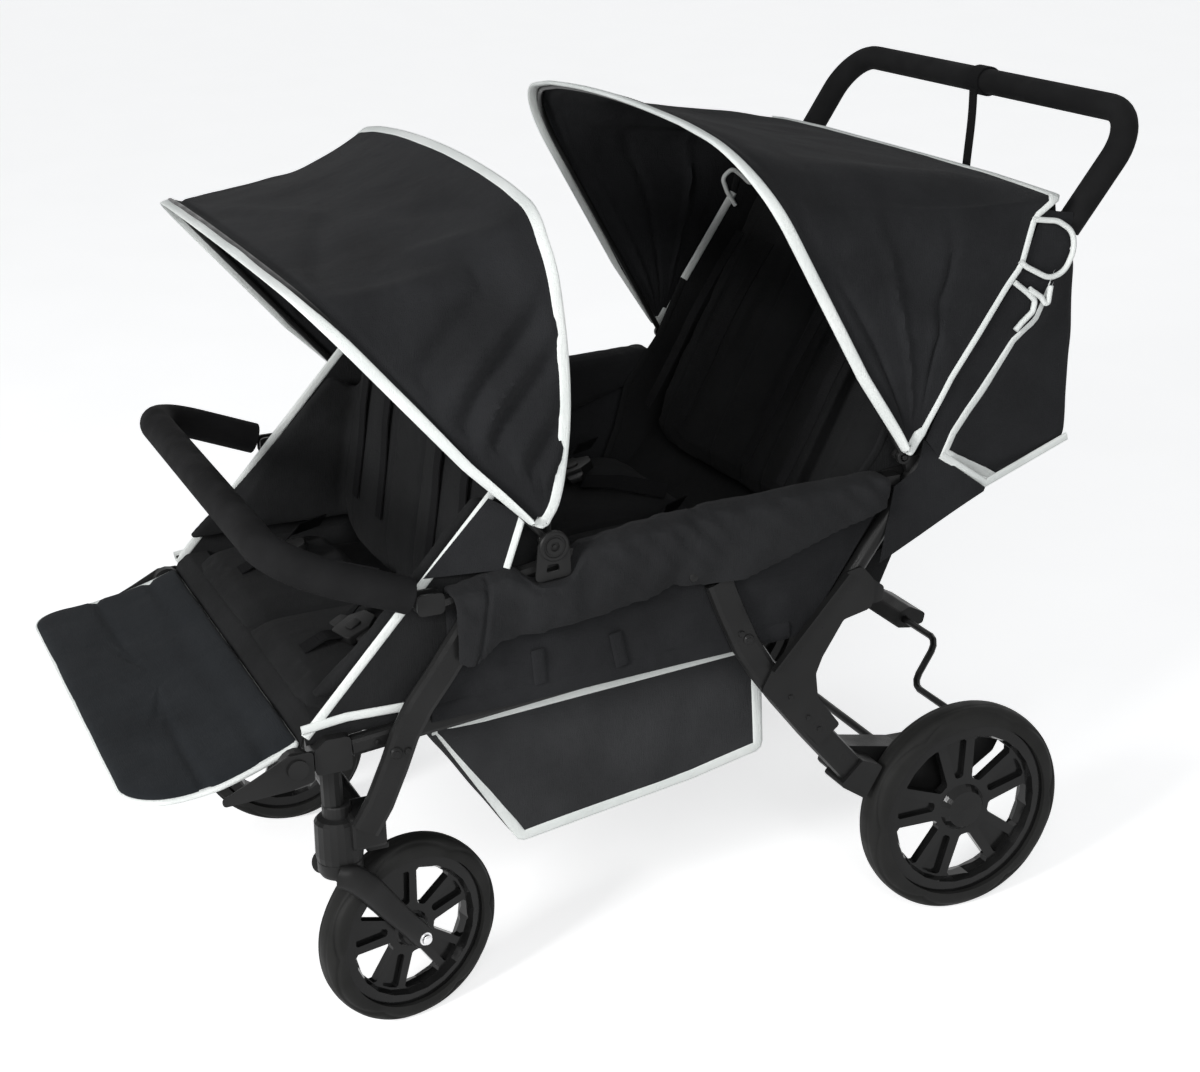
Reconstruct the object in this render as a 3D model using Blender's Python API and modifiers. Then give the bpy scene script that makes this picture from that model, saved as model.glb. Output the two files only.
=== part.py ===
"""Four-seat stroller with two canopies, modelled as separate pieces.

Units are metres, +Z is up and the stroller faces -Y. The origin is on the floor,
under the middle of the frame. Left pieces are on the +X side.
"""
import math

import bmesh
import bpy
from mathutils import Euler, Matrix, Vector

# Clearances and shared stock
GAP = 0.0003            # between pieces that touch
RUN = 0.0010            # between pieces that move past each other
WELD = 0.000001         # distance under which points of one piece are the same
SIDES = ((1, "left"), (-1, "right"))

# Side planes, measured from the middle of the stroller
RAIL_X = 0.332
RAIL_WIDTH = 0.020
RAIL_HEIGHT = 0.024
LEG_X = 0.3555
LEG_WIDTH = 0.016
LEG_DEPTH = 0.037
PLATE_THICKNESS = 0.003
HANDLE_X = 0.347
HANDLE_RADIUS = 0.0115
ARMREST_X = 0.347
ARMREST_RADIUS = 0.0095
CASTER_X = 0.316

# Heights and stations along the stroller, as (y, z) pairs
RAIL_FRONT = (-0.4012, 0.396)
RAIL_REAR = (0.135, 0.447)
LEG_PIVOT = (0.094, 0.455)
HANDLE_PIVOT = (0.186, 0.404)
HANDLE_SLOPE = math.radians(53.6)
HANDLE_LENGTH = 0.7762
ARMREST_REACH = 0.270
ARMREST_PIVOT = (-0.245, 0.542)
FRONT_HUB = (-0.155, 0.617)
FOOTREST_PIVOT = (-0.470, 0.386)
LATCH_PIVOT = (0.254, 0.498)
BUMPER_PIVOT = (-0.302, 0.566)
CROSS_TUBE = (-0.390, 0.287)
CASTER_Y = -0.420

# Wheels
REAR_RADIUS = 0.1456
REAR_TREAD = 0.0246      # depth of the rear tyre, from its seat on the rim to the floor
REAR_WIDTH = 0.045
REAR_AXLE_Y = 0.420
REAR_AXLE = (REAR_AXLE_Y, REAR_RADIUS)
REAR_WHEEL_X = 0.3575
FRONT_RADIUS = 0.1214
FRONT_TREAD = 0.0224
FRONT_WIDTH = 0.042
CASTER_TRAIL = 0.087
CASTER_SWIVEL = math.radians(13.0)
SPOKES = 5
AXLE_RADIUS = 0.006


def offset(station, along_y, up):
    """A (y, z) point measured from another one."""
    return (station[0] + along_y, station[1] + up)


# The foot of the rear leg stands clear of the tyre, and the brake sits behind the axle
FOOT_STAND_OFF = 0.0281
FOOT_ANGLE = math.radians(153.9)
FOOT = offset(REAR_AXLE, (REAR_RADIUS + FOOT_STAND_OFF) * math.cos(FOOT_ANGLE),
              (REAR_RADIUS + FOOT_STAND_OFF) * math.sin(FOOT_ANGLE))
BRAKE_PIVOT = offset(REAR_AXLE, 0.062, 0.0744)
BRAKE_CRANK = offset(BRAKE_PIVOT, 0.039, 0.061)

# Tubes
POST_RADIUS = 0.0135
CROSS_RADIUS = 0.016
GRIP_RADIUS = 0.0165
BUMPER_RADIUS = 0.019
BOW_RADIUS = 0.004
PIN_RADIUS = 0.0035
EYE_RADIUS = 0.009
BOW_ROOT = 0.0037        # depth of a bow in its eye
HUB_X = 0.3760
HUB_RADIUS = 0.0170
BRAKE_RADIUS = 0.005
RIVET_RADIUS = 0.0055
FLANGE = 0.009

# Soft pieces
CLOTH = 0.0024
SEAT_CLEARANCE = 0.014   # between a seat and the rail beside it
SEAT_HALF = RAIL_X - RAIL_WIDTH / 2.0 - SEAT_CLEARANCE
WING = 0.022
PANEL_X = 0.3445
PAD_VALLEY = 0.45
REAR_BACK_PIVOT = (0.268, 0.497)
PAD_THICKNESS = 0.034
KNUCKLE_RADIUS = 0.0205
PAD_DRAW = 0.02
PAD_EDGE = 0.02
BASKET_HALF = 0.284
BOARD_THICKNESS = 0.018
BOARD_HEIGHT = 0.3690

# Under the seats
SEAT_TUBES = (("front", (-0.330, 0.4000)), ("rear", (-0.010, 0.4320)))
SEAT_TUBE_RADIUS = 0.008
LUG_INNER = 0.292


def clear_scene():
    for old in list(bpy.data.objects):
        bpy.data.objects.remove(old, do_unlink=True)


def new_collection(name, visible=True):
    made = bpy.data.collections.new(name)
    bpy.context.scene.collection.children.link(made)
    made.hide_render = not visible
    return made


clear_scene()
PARTS = new_collection("quadruple_stroller")
CUTTERS = new_collection("cutters", visible=False)


def finish(name, color, roughness, metallic=0.0):
    made = bpy.data.materials.new(name)
    made.use_nodes = True
    shader = made.node_tree.nodes["Principled BSDF"]
    shader.inputs["Base Color"].default_value = (*color, 1.0)
    shader.inputs["Roughness"].default_value = roughness
    shader.inputs["Metallic"].default_value = metallic
    return made


FABRIC = finish("black_fabric", (0.013, 0.014, 0.016), 0.85)
PADDING = finish("padded_fabric", (0.016, 0.017, 0.019), 0.9)
STEEL = finish("black_coated_steel", (0.016, 0.016, 0.017), 0.42, 0.3)
PLASTIC = finish("black_plastic", (0.014, 0.014, 0.015), 0.5)
GLOSS = finish("gloss_plastic", (0.010, 0.010, 0.011), 0.16)
FOAM = finish("black_foam", (0.014, 0.015, 0.016), 0.8)
TYRE = finish("tyre_rubber", (0.018, 0.018, 0.018), 0.75)


def add_mesh(name, mesh, material, collection=PARTS):
    made = bpy.data.objects.new(name, mesh)
    collection.objects.link(made)
    if material:
        mesh.materials.append(material)
    return made


def smooth(obj, angle=35.0):
    obj.data.shade_smooth()
    obj.data.set_sharp_from_angle(angle=math.radians(angle))
    return obj


def as_cutter(obj):
    for owner in list(obj.users_collection):
        owner.objects.unlink(obj)
    CUTTERS.objects.link(obj)
    obj.hide_render = True
    obj.display_type = "WIRE"
    return obj


def boolean(obj, tool, operation):
    made = obj.modifiers.new(operation.lower() + "_" + tool.name, "BOOLEAN")
    made.operation = operation
    made.solver = "EXACT"
    made.object = as_cutter(tool)
    return obj


def bevel(obj, width, segments=2, angle=40.0):
    made = obj.modifiers.new("rounded_edges", "BEVEL")
    made.width = width
    made.segments = segments
    made.limit_method = "ANGLE"
    made.angle_limit = math.radians(angle)
    return obj


def baked(obj):
    """Turn a curve or a piece with modifiers into a plain welded mesh."""
    graph = bpy.context.evaluated_depsgraph_get()
    mesh = bpy.data.meshes.new_from_object(obj.evaluated_get(graph))
    work = bmesh.new()
    work.from_mesh(mesh)
    bmesh.ops.remove_doubles(work, verts=work.verts, dist=WELD)
    bmesh.ops.recalc_face_normals(work, faces=work.faces)
    work.to_mesh(mesh)
    work.free()
    name = obj.name
    place = obj.matrix_world.copy()
    owner = obj.users_collection[0]
    bpy.data.objects.remove(obj, do_unlink=True)
    made = bpy.data.objects.new(name, mesh)
    made.matrix_world = place
    owner.objects.link(made)
    return made


def fuse(obj, *tools):
    """Boolean union of separate shapes into one body."""
    for tool in tools:
        boolean(obj, tool, "UNION")
    bpy.context.view_layer.update()
    return baked(obj)


def carve(obj, *tools):
    for tool in tools:
        boolean(obj, tool, "DIFFERENCE")
    bpy.context.view_layer.update()
    return baked(obj)


def arc_corner(before, corner, after, radius, steps):
    """Points of a round corner between two straight runs."""
    to_before = (before - corner).normalized()
    to_after = (after - corner).normalized()
    half = to_before.angle(to_after) / 2.0
    reach = radius / math.tan(half)
    centre = corner + (to_before + to_after).normalized() * (radius / math.sin(half))
    first = corner + to_before * reach - centre
    last = corner + to_after * reach - centre
    sweep = first.angle(last)
    points = []
    for step in range(steps + 1):
        part = step / steps
        points.append(centre + (first * math.sin((1 - part) * sweep)
                                + last * math.sin(part * sweep)) / math.sin(sweep))
    return points


def rounded_path(points, radius, steps=4, closed=False):
    """A path through the given points with its corners rounded."""
    corners = [Vector(point) for point in points]
    radii = radius if isinstance(radius, (list, tuple)) else [radius] * len(corners)
    count = len(corners)
    path = []
    for index, corner in enumerate(corners):
        ends = not closed and index in (0, count - 1)
        if ends or radii[index] <= 0.0:
            path.append(corner)
            continue
        before = corners[index - 1]
        after = corners[(index + 1) % count]
        path.extend(arc_corner(before, corner, after, radii[index], steps))
    return path


def curve_object(name, path, material, collection=PARTS):
    curve = bpy.data.curves.new(name, "CURVE")
    curve.dimensions = "3D"
    spline = curve.splines.new("POLY")
    spline.points.add(len(path) - 1)
    for point, place in zip(spline.points, path):
        point.co = (*place, 1.0)
    curve.use_fill_caps = True
    if material:
        curve.materials.append(material)
    made = bpy.data.objects.new(name, curve)
    collection.objects.link(made)
    return made


def tube(name, path, radius, material, resolution=2):
    made = curve_object(name, path, material)
    made.data.bevel_depth = radius
    made.data.bevel_resolution = resolution
    return smooth(baked(made), 50.0)


def oval_tube(name, path, width, depth, material, corner=0.45):
    """A tube with a flat-sided oval section, width along X and depth in the YZ plane."""
    section = bpy.data.curves.new(name + "_section", "CURVE")
    section.dimensions = "2D"
    outline = section.splines.new("POLY")
    outline.use_cyclic_u = True
    half_w, half_d = width / 2.0, depth / 2.0
    radius = min(half_w, half_d) * corner * 2.0
    corners = [(-half_w, -half_d, 0), (half_w, -half_d, 0), (half_w, half_d, 0),
               (-half_w, half_d, 0)]
    points = rounded_path(corners, min(radius, half_w * 0.98, half_d * 0.98), 2, closed=True)
    outline.points.add(len(points) - 1)
    for point, place in zip(outline.points, points):
        point.co = (place.x, place.y, 0.0, 1.0)
    profile = bpy.data.objects.new(name + "_section", section)
    as_holder(profile)
    made = curve_object(name, path, material)
    made.data.twist_mode = "Z_UP"
    made.data.bevel_mode = "OBJECT"
    made.data.bevel_object = profile
    bpy.context.view_layer.update()
    made = smooth(baked(made), 50.0)
    bpy.data.objects.remove(profile, do_unlink=True)
    return made


def as_holder(obj):
    CUTTERS.objects.link(obj)
    obj.hide_render = True
    return obj


def prism(name, outline, low, high):
    """A solid with the given outline in the XY plane, from low to high."""
    curve = bpy.data.curves.new(name, "CURVE")
    curve.dimensions = "2D"
    curve.fill_mode = "BOTH"
    curve.extrude = (high - low) / 2.0
    spline = curve.splines.new("POLY")
    spline.use_cyclic_u = True
    spline.points.add(len(outline) - 1)
    for point, place in zip(spline.points, outline):
        point.co = (place[0], place[1], 0.0, 1.0)
    made = bpy.data.objects.new(name, curve)
    made.location = (0.0, 0.0, (low + high) / 2.0)
    PARTS.objects.link(made)
    bpy.context.view_layer.update()
    return applied(baked(made))


SIDE_VIEW = Euler((math.radians(90.0), 0.0, math.radians(90.0))).to_matrix().to_4x4()


def plate(name, outline, x, thickness, material):
    """A flat piece cut to a side outline of (y, z) points, centred on x."""
    made = prism(name, outline, -thickness / 2.0, thickness / 2.0)
    made.data.transform(Matrix.Translation((x, 0.0, 0.0)) @ SIDE_VIEW)
    if material:
        made.data.materials.append(material)
    return made


def applied(obj):
    obj.data.transform(obj.matrix_world)
    obj.matrix_world = Matrix.Identity(4)
    return obj


def side_outline(points, radius, steps=2):
    flat = [(point[0], point[1], 0.0) for point in points]
    return [(place.x, place.y) for place in rounded_path(flat, radius, steps, closed=True)]


def turned(name, profile, steps, material, axis="X", centre=(0.0, 0.0, 0.0)):
    """A turned piece: (radius, height) points, listed from the top end down the outside."""
    mesh = bpy.data.meshes.new(name)
    work = bmesh.new()
    verts = [work.verts.new((radius, 0.0, height)) for radius, height in profile]
    for first, second in zip(verts, verts[1:]):
        work.edges.new((first, second))
    closed = profile[0][0] > 0.0
    if closed:
        work.edges.new((verts[-1], verts[0]))
    work.to_mesh(mesh)
    work.free()
    made = add_mesh(name, mesh, material)
    screw = made.modifiers.new("turn", "SCREW")
    screw.axis = "Z"
    screw.steps = steps
    screw.render_steps = steps
    screw.use_merge_vertices = True
    screw.merge_threshold = 0.00005
    screw.use_smooth_shade = True
    turn = Matrix.Rotation(math.radians(90.0), 4, "Y") if axis == "X" else Matrix.Identity(4)
    made.matrix_world = Matrix.Translation(centre) @ turn
    bpy.context.view_layer.update()
    return smooth(applied(baked(made)), 40.0)


def disc(radius, start, end, edge=0.0):
    """Profile of a solid disc from start up to end, with a small chamfer."""
    if edge <= 0.0:
        return [(0.0, end), (radius, end), (radius, start), (0.0, start)]
    return [(0.0, end), (radius - edge, end), (radius, end - edge),
            (radius, start + edge), (radius - edge, start), (0.0, start)]


def box(name, low, high, material):
    size = Vector(high) - Vector(low)
    centre = (Vector(high) + Vector(low)) / 2.0
    mesh = bpy.data.meshes.new(name)
    work = bmesh.new()
    bmesh.ops.create_cube(work, size=1.0)
    bmesh.ops.scale(work, vec=size, verts=work.verts)
    bmesh.ops.translate(work, vec=centre, verts=work.verts)
    work.to_mesh(mesh)
    work.free()
    return add_mesh(name, mesh, material)


def holder(name, location, rotation_z=0.0):
    """An empty on a joint's axis that carries the pieces that move with it."""
    made = bpy.data.objects.new(name, None)
    made.location = location
    made.rotation_euler = (0.0, 0.0, rotation_z)
    PARTS.objects.link(made)
    bpy.context.view_layer.update()
    return made


def hang(carrier, *pieces):
    """Parent pieces to their carrier, where they stand."""
    for piece in pieces:
        piece.parent = carrier
        piece.matrix_parent_inverse = carrier.matrix_world.inverted()


def along(start, slope, distance, aside=0.0):
    """A (y, z) point at a distance up a sloping line, and aside from it towards the front."""
    return (start[0] + distance * math.cos(slope) - aside * math.sin(slope),
            start[1] + distance * math.sin(slope) + aside * math.cos(slope))


# The rear canopy turns on a lug that stands off the handle tube
CANOPY_LUG_REACH = 0.2771
CANOPY_LUG_ASIDE = 0.0352
REAR_HUB = along(HANDLE_PIVOT, HANDLE_SLOPE, CANOPY_LUG_REACH, CANOPY_LUG_ASIDE)


def at(x, station):
    return Vector((x, station[0], station[1]))


# Wheels

def window_outline(inner, outer, inner_half, outer_half, turn):
    """Rounded wedge in the wheel's plane, between two radii and about a direction."""
    wedge = [(inner, -inner_half), (outer, -outer_half), (outer / math.cos(outer_half / 2.0), 0.0),
             (outer, outer_half), (inner, inner_half)]
    corners = [(radius * math.cos(turn + half), radius * math.sin(turn + half), 0.0)
               for radius, half in wedge]
    corner = (inner * inner_half) * 0.55
    return rounded_path(corners, [corner, corner, 0.0, corner, corner], 1, closed=True)


def spoked_rim(name, tyre_inner, ring_depth, width, hub, steps, bore, through):
    """A moulded rim on local Z: ring, hub and broad spokes with a channel in each."""
    half = width / 2.0
    ring = tyre_inner - ring_depth
    web = half * 0.42
    profile = [
        (hub * 0.85, half - 0.0025), (hub, half - 0.0080),
        (hub + 0.003, web), (ring - 0.002, web), (ring + 0.002, half * 0.86),
        (tyre_inner, half * 0.80), (tyre_inner, -half * 0.80), (ring, -half * 0.80),
        (ring - 0.003, -web * 0.6), (hub + 0.003, -web * 0.6), (hub, -half + 0.002),
        (bore, -half + 0.002),
    ]
    if through:
        profile.append((bore, half - 0.0025))
    else:
        profile = [(0.0, half - 0.0015)] + profile + [(bore, half - 0.008), (0.0, half - 0.008)]
    rim = turned(name, profile, steps, GLOSS, axis="Z")
    tools = []
    pitch = 2.0 * math.pi / SPOKES
    inner = hub + 0.012
    outer = ring - 0.003
    for index in range(SPOKES):
        turn = index * pitch
        window = window_outline(inner, outer, pitch * 0.13, pitch * 0.27, turn)
        tools.append(prism(name + "_window_%d" % index, window, -half, half))
        centre = turn + pitch / 2.0
        channel = window_outline(inner + 0.002, outer - 0.002, pitch * 0.10, pitch * 0.13, centre)
        tools.append(prism(name + "_channel_%d" % index, channel, web * 0.15, half))
    return smooth(carve(rim, *tools), 35.0)


def tyre(name, radius, inner, width, steps):
    half = width / 2.0
    shoulder = radius - 0.007
    profile = [
        (inner + GAP, half * 0.93), (inner + 0.008, half), (shoulder, half * 0.88),
        (radius, half * 0.42), (radius, -half * 0.42), (shoulder, -half * 0.88),
        (inner + 0.008, -half), (inner + GAP, -half * 0.93),
    ]
    return turned(name, profile, steps, TYRE, axis="Z")


def place_wheel(pieces, centre, side, steer):
    """Stand a wheel on its axle: local Z, the outer face, points away from the frame."""
    turn = Matrix.Rotation(math.radians(90.0 * side), 4, "Y")
    stand = Matrix.Translation(centre) @ Matrix.Rotation(steer, 4, "Z") @ turn
    for piece in pieces:
        piece.data.transform(stand)


REAR_TYRE_INNER = REAR_RADIUS - REAR_TREAD
REAR_STEPS = 26
FRONT_TYRE_INNER = FRONT_RADIUS - FRONT_TREAD
FRONT_STEPS = 22


def flat_down(steps):
    """Quarter-turn offset that puts a facet, not an edge, on the floor."""
    return math.pi / steps


def build_rear_wheels():
    for side, label in SIDES:
        # The facets touch the floor, so the turned radius reaches past the rolling radius.
        radius = REAR_RADIUS / math.cos(math.pi / REAR_STEPS)
        rim = spoked_rim("rear_rim_" + label, REAR_TYRE_INNER, 0.017, REAR_WIDTH - 0.004,
                         0.030, REAR_STEPS, AXLE_RADIUS + GAP, False)
        rubber = tyre("rear_tyre_" + label, radius, REAR_TYRE_INNER, REAR_WIDTH, REAR_STEPS)
        for piece in (rim, rubber):
            piece.data.transform(Matrix.Rotation(flat_down(REAR_STEPS), 4, "Z"))
        place_wheel((rim, rubber), at(side * REAR_WHEEL_X, REAR_AXLE), side, 0.0)
        carrier = holder("rear_wheel_axis_" + label, at(side * REAR_WHEEL_X, REAR_AXLE))
        hang(carrier, rim, rubber)


def caster_frame(side):
    """Placement of a caster: its upright axis, turned by the swivel."""
    turn = Matrix.Rotation(side * CASTER_SWIVEL, 4, "Z")
    return Matrix.Translation((side * CASTER_X, CASTER_Y, 0.0)) @ turn


HOUSING_BOTTOM = 0.2475
CROWN_BOTTOM = 0.2290
FORK_X = 0.0325


def build_casters():
    for side, label in SIDES:
        place = caster_frame(side)
        radius = FRONT_RADIUS / math.cos(math.pi / FRONT_STEPS)
        rim = spoked_rim("front_rim_" + label, FRONT_TYRE_INNER, 0.015, FRONT_WIDTH - 0.004,
                         0.021, FRONT_STEPS, AXLE_RADIUS + GAP, True)
        rubber = tyre("front_tyre_" + label, radius, FRONT_TYRE_INNER, FRONT_WIDTH, FRONT_STEPS)
        for piece in (rim, rubber):
            piece.data.transform(Matrix.Rotation(flat_down(FRONT_STEPS), 4, "Z"))
        centre = place @ Vector((0.0, CASTER_TRAIL, FRONT_RADIUS))
        place_wheel((rim, rubber), centre, side, side * CASTER_SWIVEL)
        spin = holder("front_wheel_axis_" + label, centre, side * CASTER_SWIVEL)
        hang(spin, rim, rubber)
        fork = caster_fork(label)
        fork.data.transform(place)
        steer = holder("caster_axis_" + label, (side * CASTER_X, CASTER_Y, HOUSING_BOTTOM),
                       side * CASTER_SWIVEL)
        hang(steer, fork)


def caster_fork(label):
    """Crown under the steering head with an arm down each side of the wheel."""
    crown = turned("caster_fork_" + label, disc(0.0275, CROWN_BOTTOM, HOUSING_BOTTOM - GAP, 0.003),
                   20, PLASTIC, axis="Z")
    tools = []
    for arm_side in (1, -1):
        route = [
            (arm_side * 0.020, -0.006, 0.2330), (arm_side * 0.030, 0.004, 0.2290),
            (arm_side * FORK_X, 0.022, 0.2080), (arm_side * FORK_X, 0.044, 0.1760),
            (arm_side * FORK_X, 0.068, 0.1460), (arm_side * FORK_X, CASTER_TRAIL, FRONT_RADIUS),
        ]
        arm = curve_object("arm_%s_%d" % (label, arm_side), [Vector(p) for p in route], None)
        widths = (1.25, 1.35, 1.3, 1.2, 1.1, 1.15)
        for point, width in zip(arm.data.splines[0].points, widths):
            point.radius = width
        arm.data.bevel_depth = 0.0105
        arm.data.bevel_resolution = 2
        arm = baked(arm)
        flatten = Matrix.Translation((arm_side * FORK_X, 0, 0)) @ Matrix.Diagonal((0.62, 1, 1, 1))
        arm.data.transform(flatten @ Matrix.Translation((-arm_side * FORK_X, 0, 0)))
        tools.append(arm)
    axle = turned("axle_" + label, disc(AXLE_RADIUS, -FORK_X - 0.009, FORK_X + 0.009, 0.001),
                  12, None, axis="X", centre=(0.0, CASTER_TRAIL, FRONT_RADIUS))
    return smooth(fuse(crown, *tools, axle), 40.0)


def caster_housing(side, label):
    """Steering head: barrel, top ring, and a lug for the cross tube and the leg."""
    centre = (side * CASTER_X, CASTER_Y, 0.0)
    profile = [
        (0.0, 0.319), (0.0165, 0.319), (0.0175, 0.317), (0.0175, 0.304), (0.0245, 0.301),
        (0.0280, 0.297), (0.0290, 0.255), (0.0280, HOUSING_BOTTOM), (0.0, HOUSING_BOTTOM),
    ]
    barrel = turned("caster_housing_" + label, profile, 20, PLASTIC, axis="Z", centre=centre)
    lug_outer = LEG_X - LEG_WIDTH / 2.0 - GAP
    low = (min(side * LUG_INNER, side * lug_outer), CASTER_Y + 0.008, 0.264)
    high = (max(side * LUG_INNER, side * lug_outer), -0.368, 0.309)
    lug = bevel(box("lug_" + label, low, high, None), 0.005, 2)
    bpy.context.view_layer.update()
    return smooth(fuse(barrel, baked(lug)), 40.0)


def swivel_lock(side, label):
    """Small lever at the back of the steering head."""
    x = side * CASTER_X
    tab = box("swivel_lock_" + label, (x - 0.011, -0.3895, 0.2500), (x + 0.011, -0.3610, 0.2585),
              PLASTIC)
    bevel(tab, 0.0025, 2)
    bpy.context.view_layer.update()
    tab = smooth(baked(tab), 40.0)
    hang(holder("swivel_lock_axis_" + label, (x, -0.3895, 0.2543)), tab)
    return tab


# Frame

FRONT_LEG_ROUTE = [(-0.398, 0.296), (-0.378, 0.327), (-0.357, 0.372), (-0.342, 0.408),
                   (-0.322, 0.441), (-0.294, 0.476), ARMREST_PIVOT]
REAR_LEG_ROUTE = [(0.066, 0.528), (0.082, 0.486), (0.103, 0.437), (0.126, 0.399),
                  (0.153, 0.361), (0.192, 0.310), FOOT]


def soft_route(points, steps=1):
    """A smooth curve through (y, z) points."""
    result = []
    count = len(points)
    for index in range(count - 1):
        p0 = Vector(points[max(index - 1, 0)])
        p1 = Vector(points[index])
        p2 = Vector(points[index + 1])
        p3 = Vector(points[min(index + 2, count - 1)])
        for step in range(steps):
            t = step / steps
            result.append(0.5 * (2 * p1 + (p2 - p0) * t + (2 * p0 - 5 * p1 + 4 * p2 - p3) * t * t
                                 + (3 * p1 - p0 - 3 * p2 + p3) * t * t * t))
    result.append(Vector(points[-1]))
    return [(point.x, point.y) for point in result]


def rivet(name, face, station, side, radius=RIVET_RADIUS, height=0.0028):
    """A domed rivet head on a face at x, rooted in the piece that carries it."""
    root = 0.0012
    dome = [(0.0, height), (radius * 0.7, height * 0.8), (radius, -root), (0.0, -root)]
    head = turned(name, dome, 8, None, axis="Z")
    turn = Matrix.Rotation(math.radians(90.0 * side), 4, "Y")
    head.data.transform(Matrix.Translation(at(face, station)) @ turn)
    return head


def build_front_frame():
    leg_face = LEG_X + LEG_WIDTH / 2.0
    rail_face = RAIL_X + RAIL_WIDTH / 2.0
    for side, label in SIDES:
        route = [at(side * LEG_X, place) for place in soft_route(FRONT_LEG_ROUTE)]
        leg = oval_tube("front_leg_" + label, route, LEG_WIDTH, LEG_DEPTH, STEEL)
        heads = [rivet("rivet_low_" + label, side * leg_face, (-0.342, 0.390), side),
                 rivet("rivet_top_" + label, side * leg_face, ARMREST_PIVOT, side)]
        smooth(fuse(leg, *heads), 50.0)
        ends = [at(side * RAIL_X, RAIL_FRONT), at(side * RAIL_X, RAIL_REAR)]
        rail = oval_tube("side_rail_" + label, ends, RAIL_WIDTH, RAIL_HEIGHT, STEEL, corner=0.3)
        head = rivet("rivet_rail_" + label, side * rail_face, (-0.372, 0.399), side, 0.004, 0.002)
        smooth(fuse(rail, head), 50.0)
        caster_housing(side, label)
        swivel_lock(side, label)
        rail_corner(side, label)
    build_cross_tubes()


def build_cross_tubes():
    """Tube between the steering heads and the tubes under the seats."""
    reach = LUG_INNER - GAP
    turned("cross_tube", disc(CROSS_RADIUS, -reach, reach), 20, STEEL, axis="X",
           centre=at(0.0, CROSS_TUBE))
    reach = RAIL_X - RAIL_WIDTH / 2.0 - GAP
    for label, station in SEAT_TUBES:
        turned("seat_tube_" + label, disc(SEAT_TUBE_RADIUS, -reach, reach), 12, STEEL, axis="X",
               centre=at(0.0, station))


def rail_corner(side, label):
    """Moulded corner on its post: it takes the rail and carries the footrest's hinge."""
    inner, outer = CASTER_X - 0.018, RAIL_X + RAIL_WIDTH / 2.0
    outline = side_outline([(-0.4480, 0.3700), (-0.4030, 0.3700), (-0.4030, 0.4130),
                            (-0.4330, 0.4130), (-0.4480, 0.4010)], 0.006)
    block = plate("rail_corner_" + label, outline, side * (inner + outer) / 2.0, outer - inner,
                  PLASTIC)
    knuckle = turned("knuckle_" + label, disc(KNUCKLE_RADIUS, -0.006, 0.006), 18, None,
                     centre=at(side * (outer - 0.006), FOOTREST_PIVOT))
    web = box("web_" + label, at(side * (outer - 0.009), (-0.470, 0.374)) - Vector((0.003, 0, 0)),
              at(side * (outer - 0.009), (-0.440, 0.398)) + Vector((0.003, 0, 0)), None)
    cap = turned("cap_" + label, disc(0.0125, -0.0040, 0.0050), 14, None,
                 centre=at(side * (outer + 0.0035), FOOTREST_PIVOT))
    post = turned("post_" + label, disc(POST_RADIUS, 0.319 + GAP, 0.3760), 12, None, axis="Z",
                  centre=(side * CASTER_X, CASTER_Y - 0.004, 0.0))
    return smooth(fuse(block, knuckle, web, cap, post), 40.0)


# Rear frame

def rear_housing(side, label):
    """Moulded foot of the rear leg: a socket for the leg and an arm inside the wheel."""
    inner, outer = 0.292, REAR_WHEEL_X - REAR_WIDTH / 2.0 - 0.003
    arm = side_outline([
        offset(FOOT, -0.026, 0.000), offset(FOOT, -0.002, 0.032), offset(REAR_AXLE, -0.075, 0.0904),
        offset(REAR_AXLE, 0.030, 0.0864), offset(BRAKE_PIVOT, -0.008, 0.020),
        offset(BRAKE_PIVOT, 0.018, 0.002), offset(BRAKE_PIVOT, 0.006, -0.020),
        offset(REAR_AXLE, 0.036, 0.0344), offset(REAR_AXLE, 0.032, -0.0276),
        offset(REAR_AXLE, -0.022, -0.0336), offset(FOOT, 0.036, -0.046),
    ], 0.008, 2)
    body = plate("rear_housing_" + label, arm, side * (inner + outer) / 2.0, outer - inner, PLASTIC)
    socket_outline = side_outline([offset(FOOT, -0.031, -0.004), offset(FOOT, 0.002, 0.026),
                                   offset(FOOT, 0.032, 0.012), offset(FOOT, 0.006, -0.030)], 0.004, 2)
    face = LEG_X + LEG_WIDTH / 2.0 + 0.005
    socket = plate("socket_" + label, socket_outline, side * (outer - 0.01 + face) / 2.0,
                   face - outer + 0.01, None)
    body = fuse(body, socket)
    slot_route = [at(side * LEG_X, place) for place in soft_route(REAR_LEG_ROUTE[-3:])]
    slot = oval_tube("slot_" + label, slot_route, LEG_WIDTH + 2 * GAP, LEG_DEPTH + 2 * GAP, None)
    bore = turned("bore_" + label, disc(AXLE_RADIUS + GAP, inner - 0.01, outer + 0.01), 16, None,
                  axis="X", centre=(0.0, *REAR_AXLE))
    bore.data.transform(Matrix.Diagonal((side, 1, 1, 1)))
    if side < 0:
        bore.data.flip_normals()
    return smooth(carve(body, slot, bore), 40.0)


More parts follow.
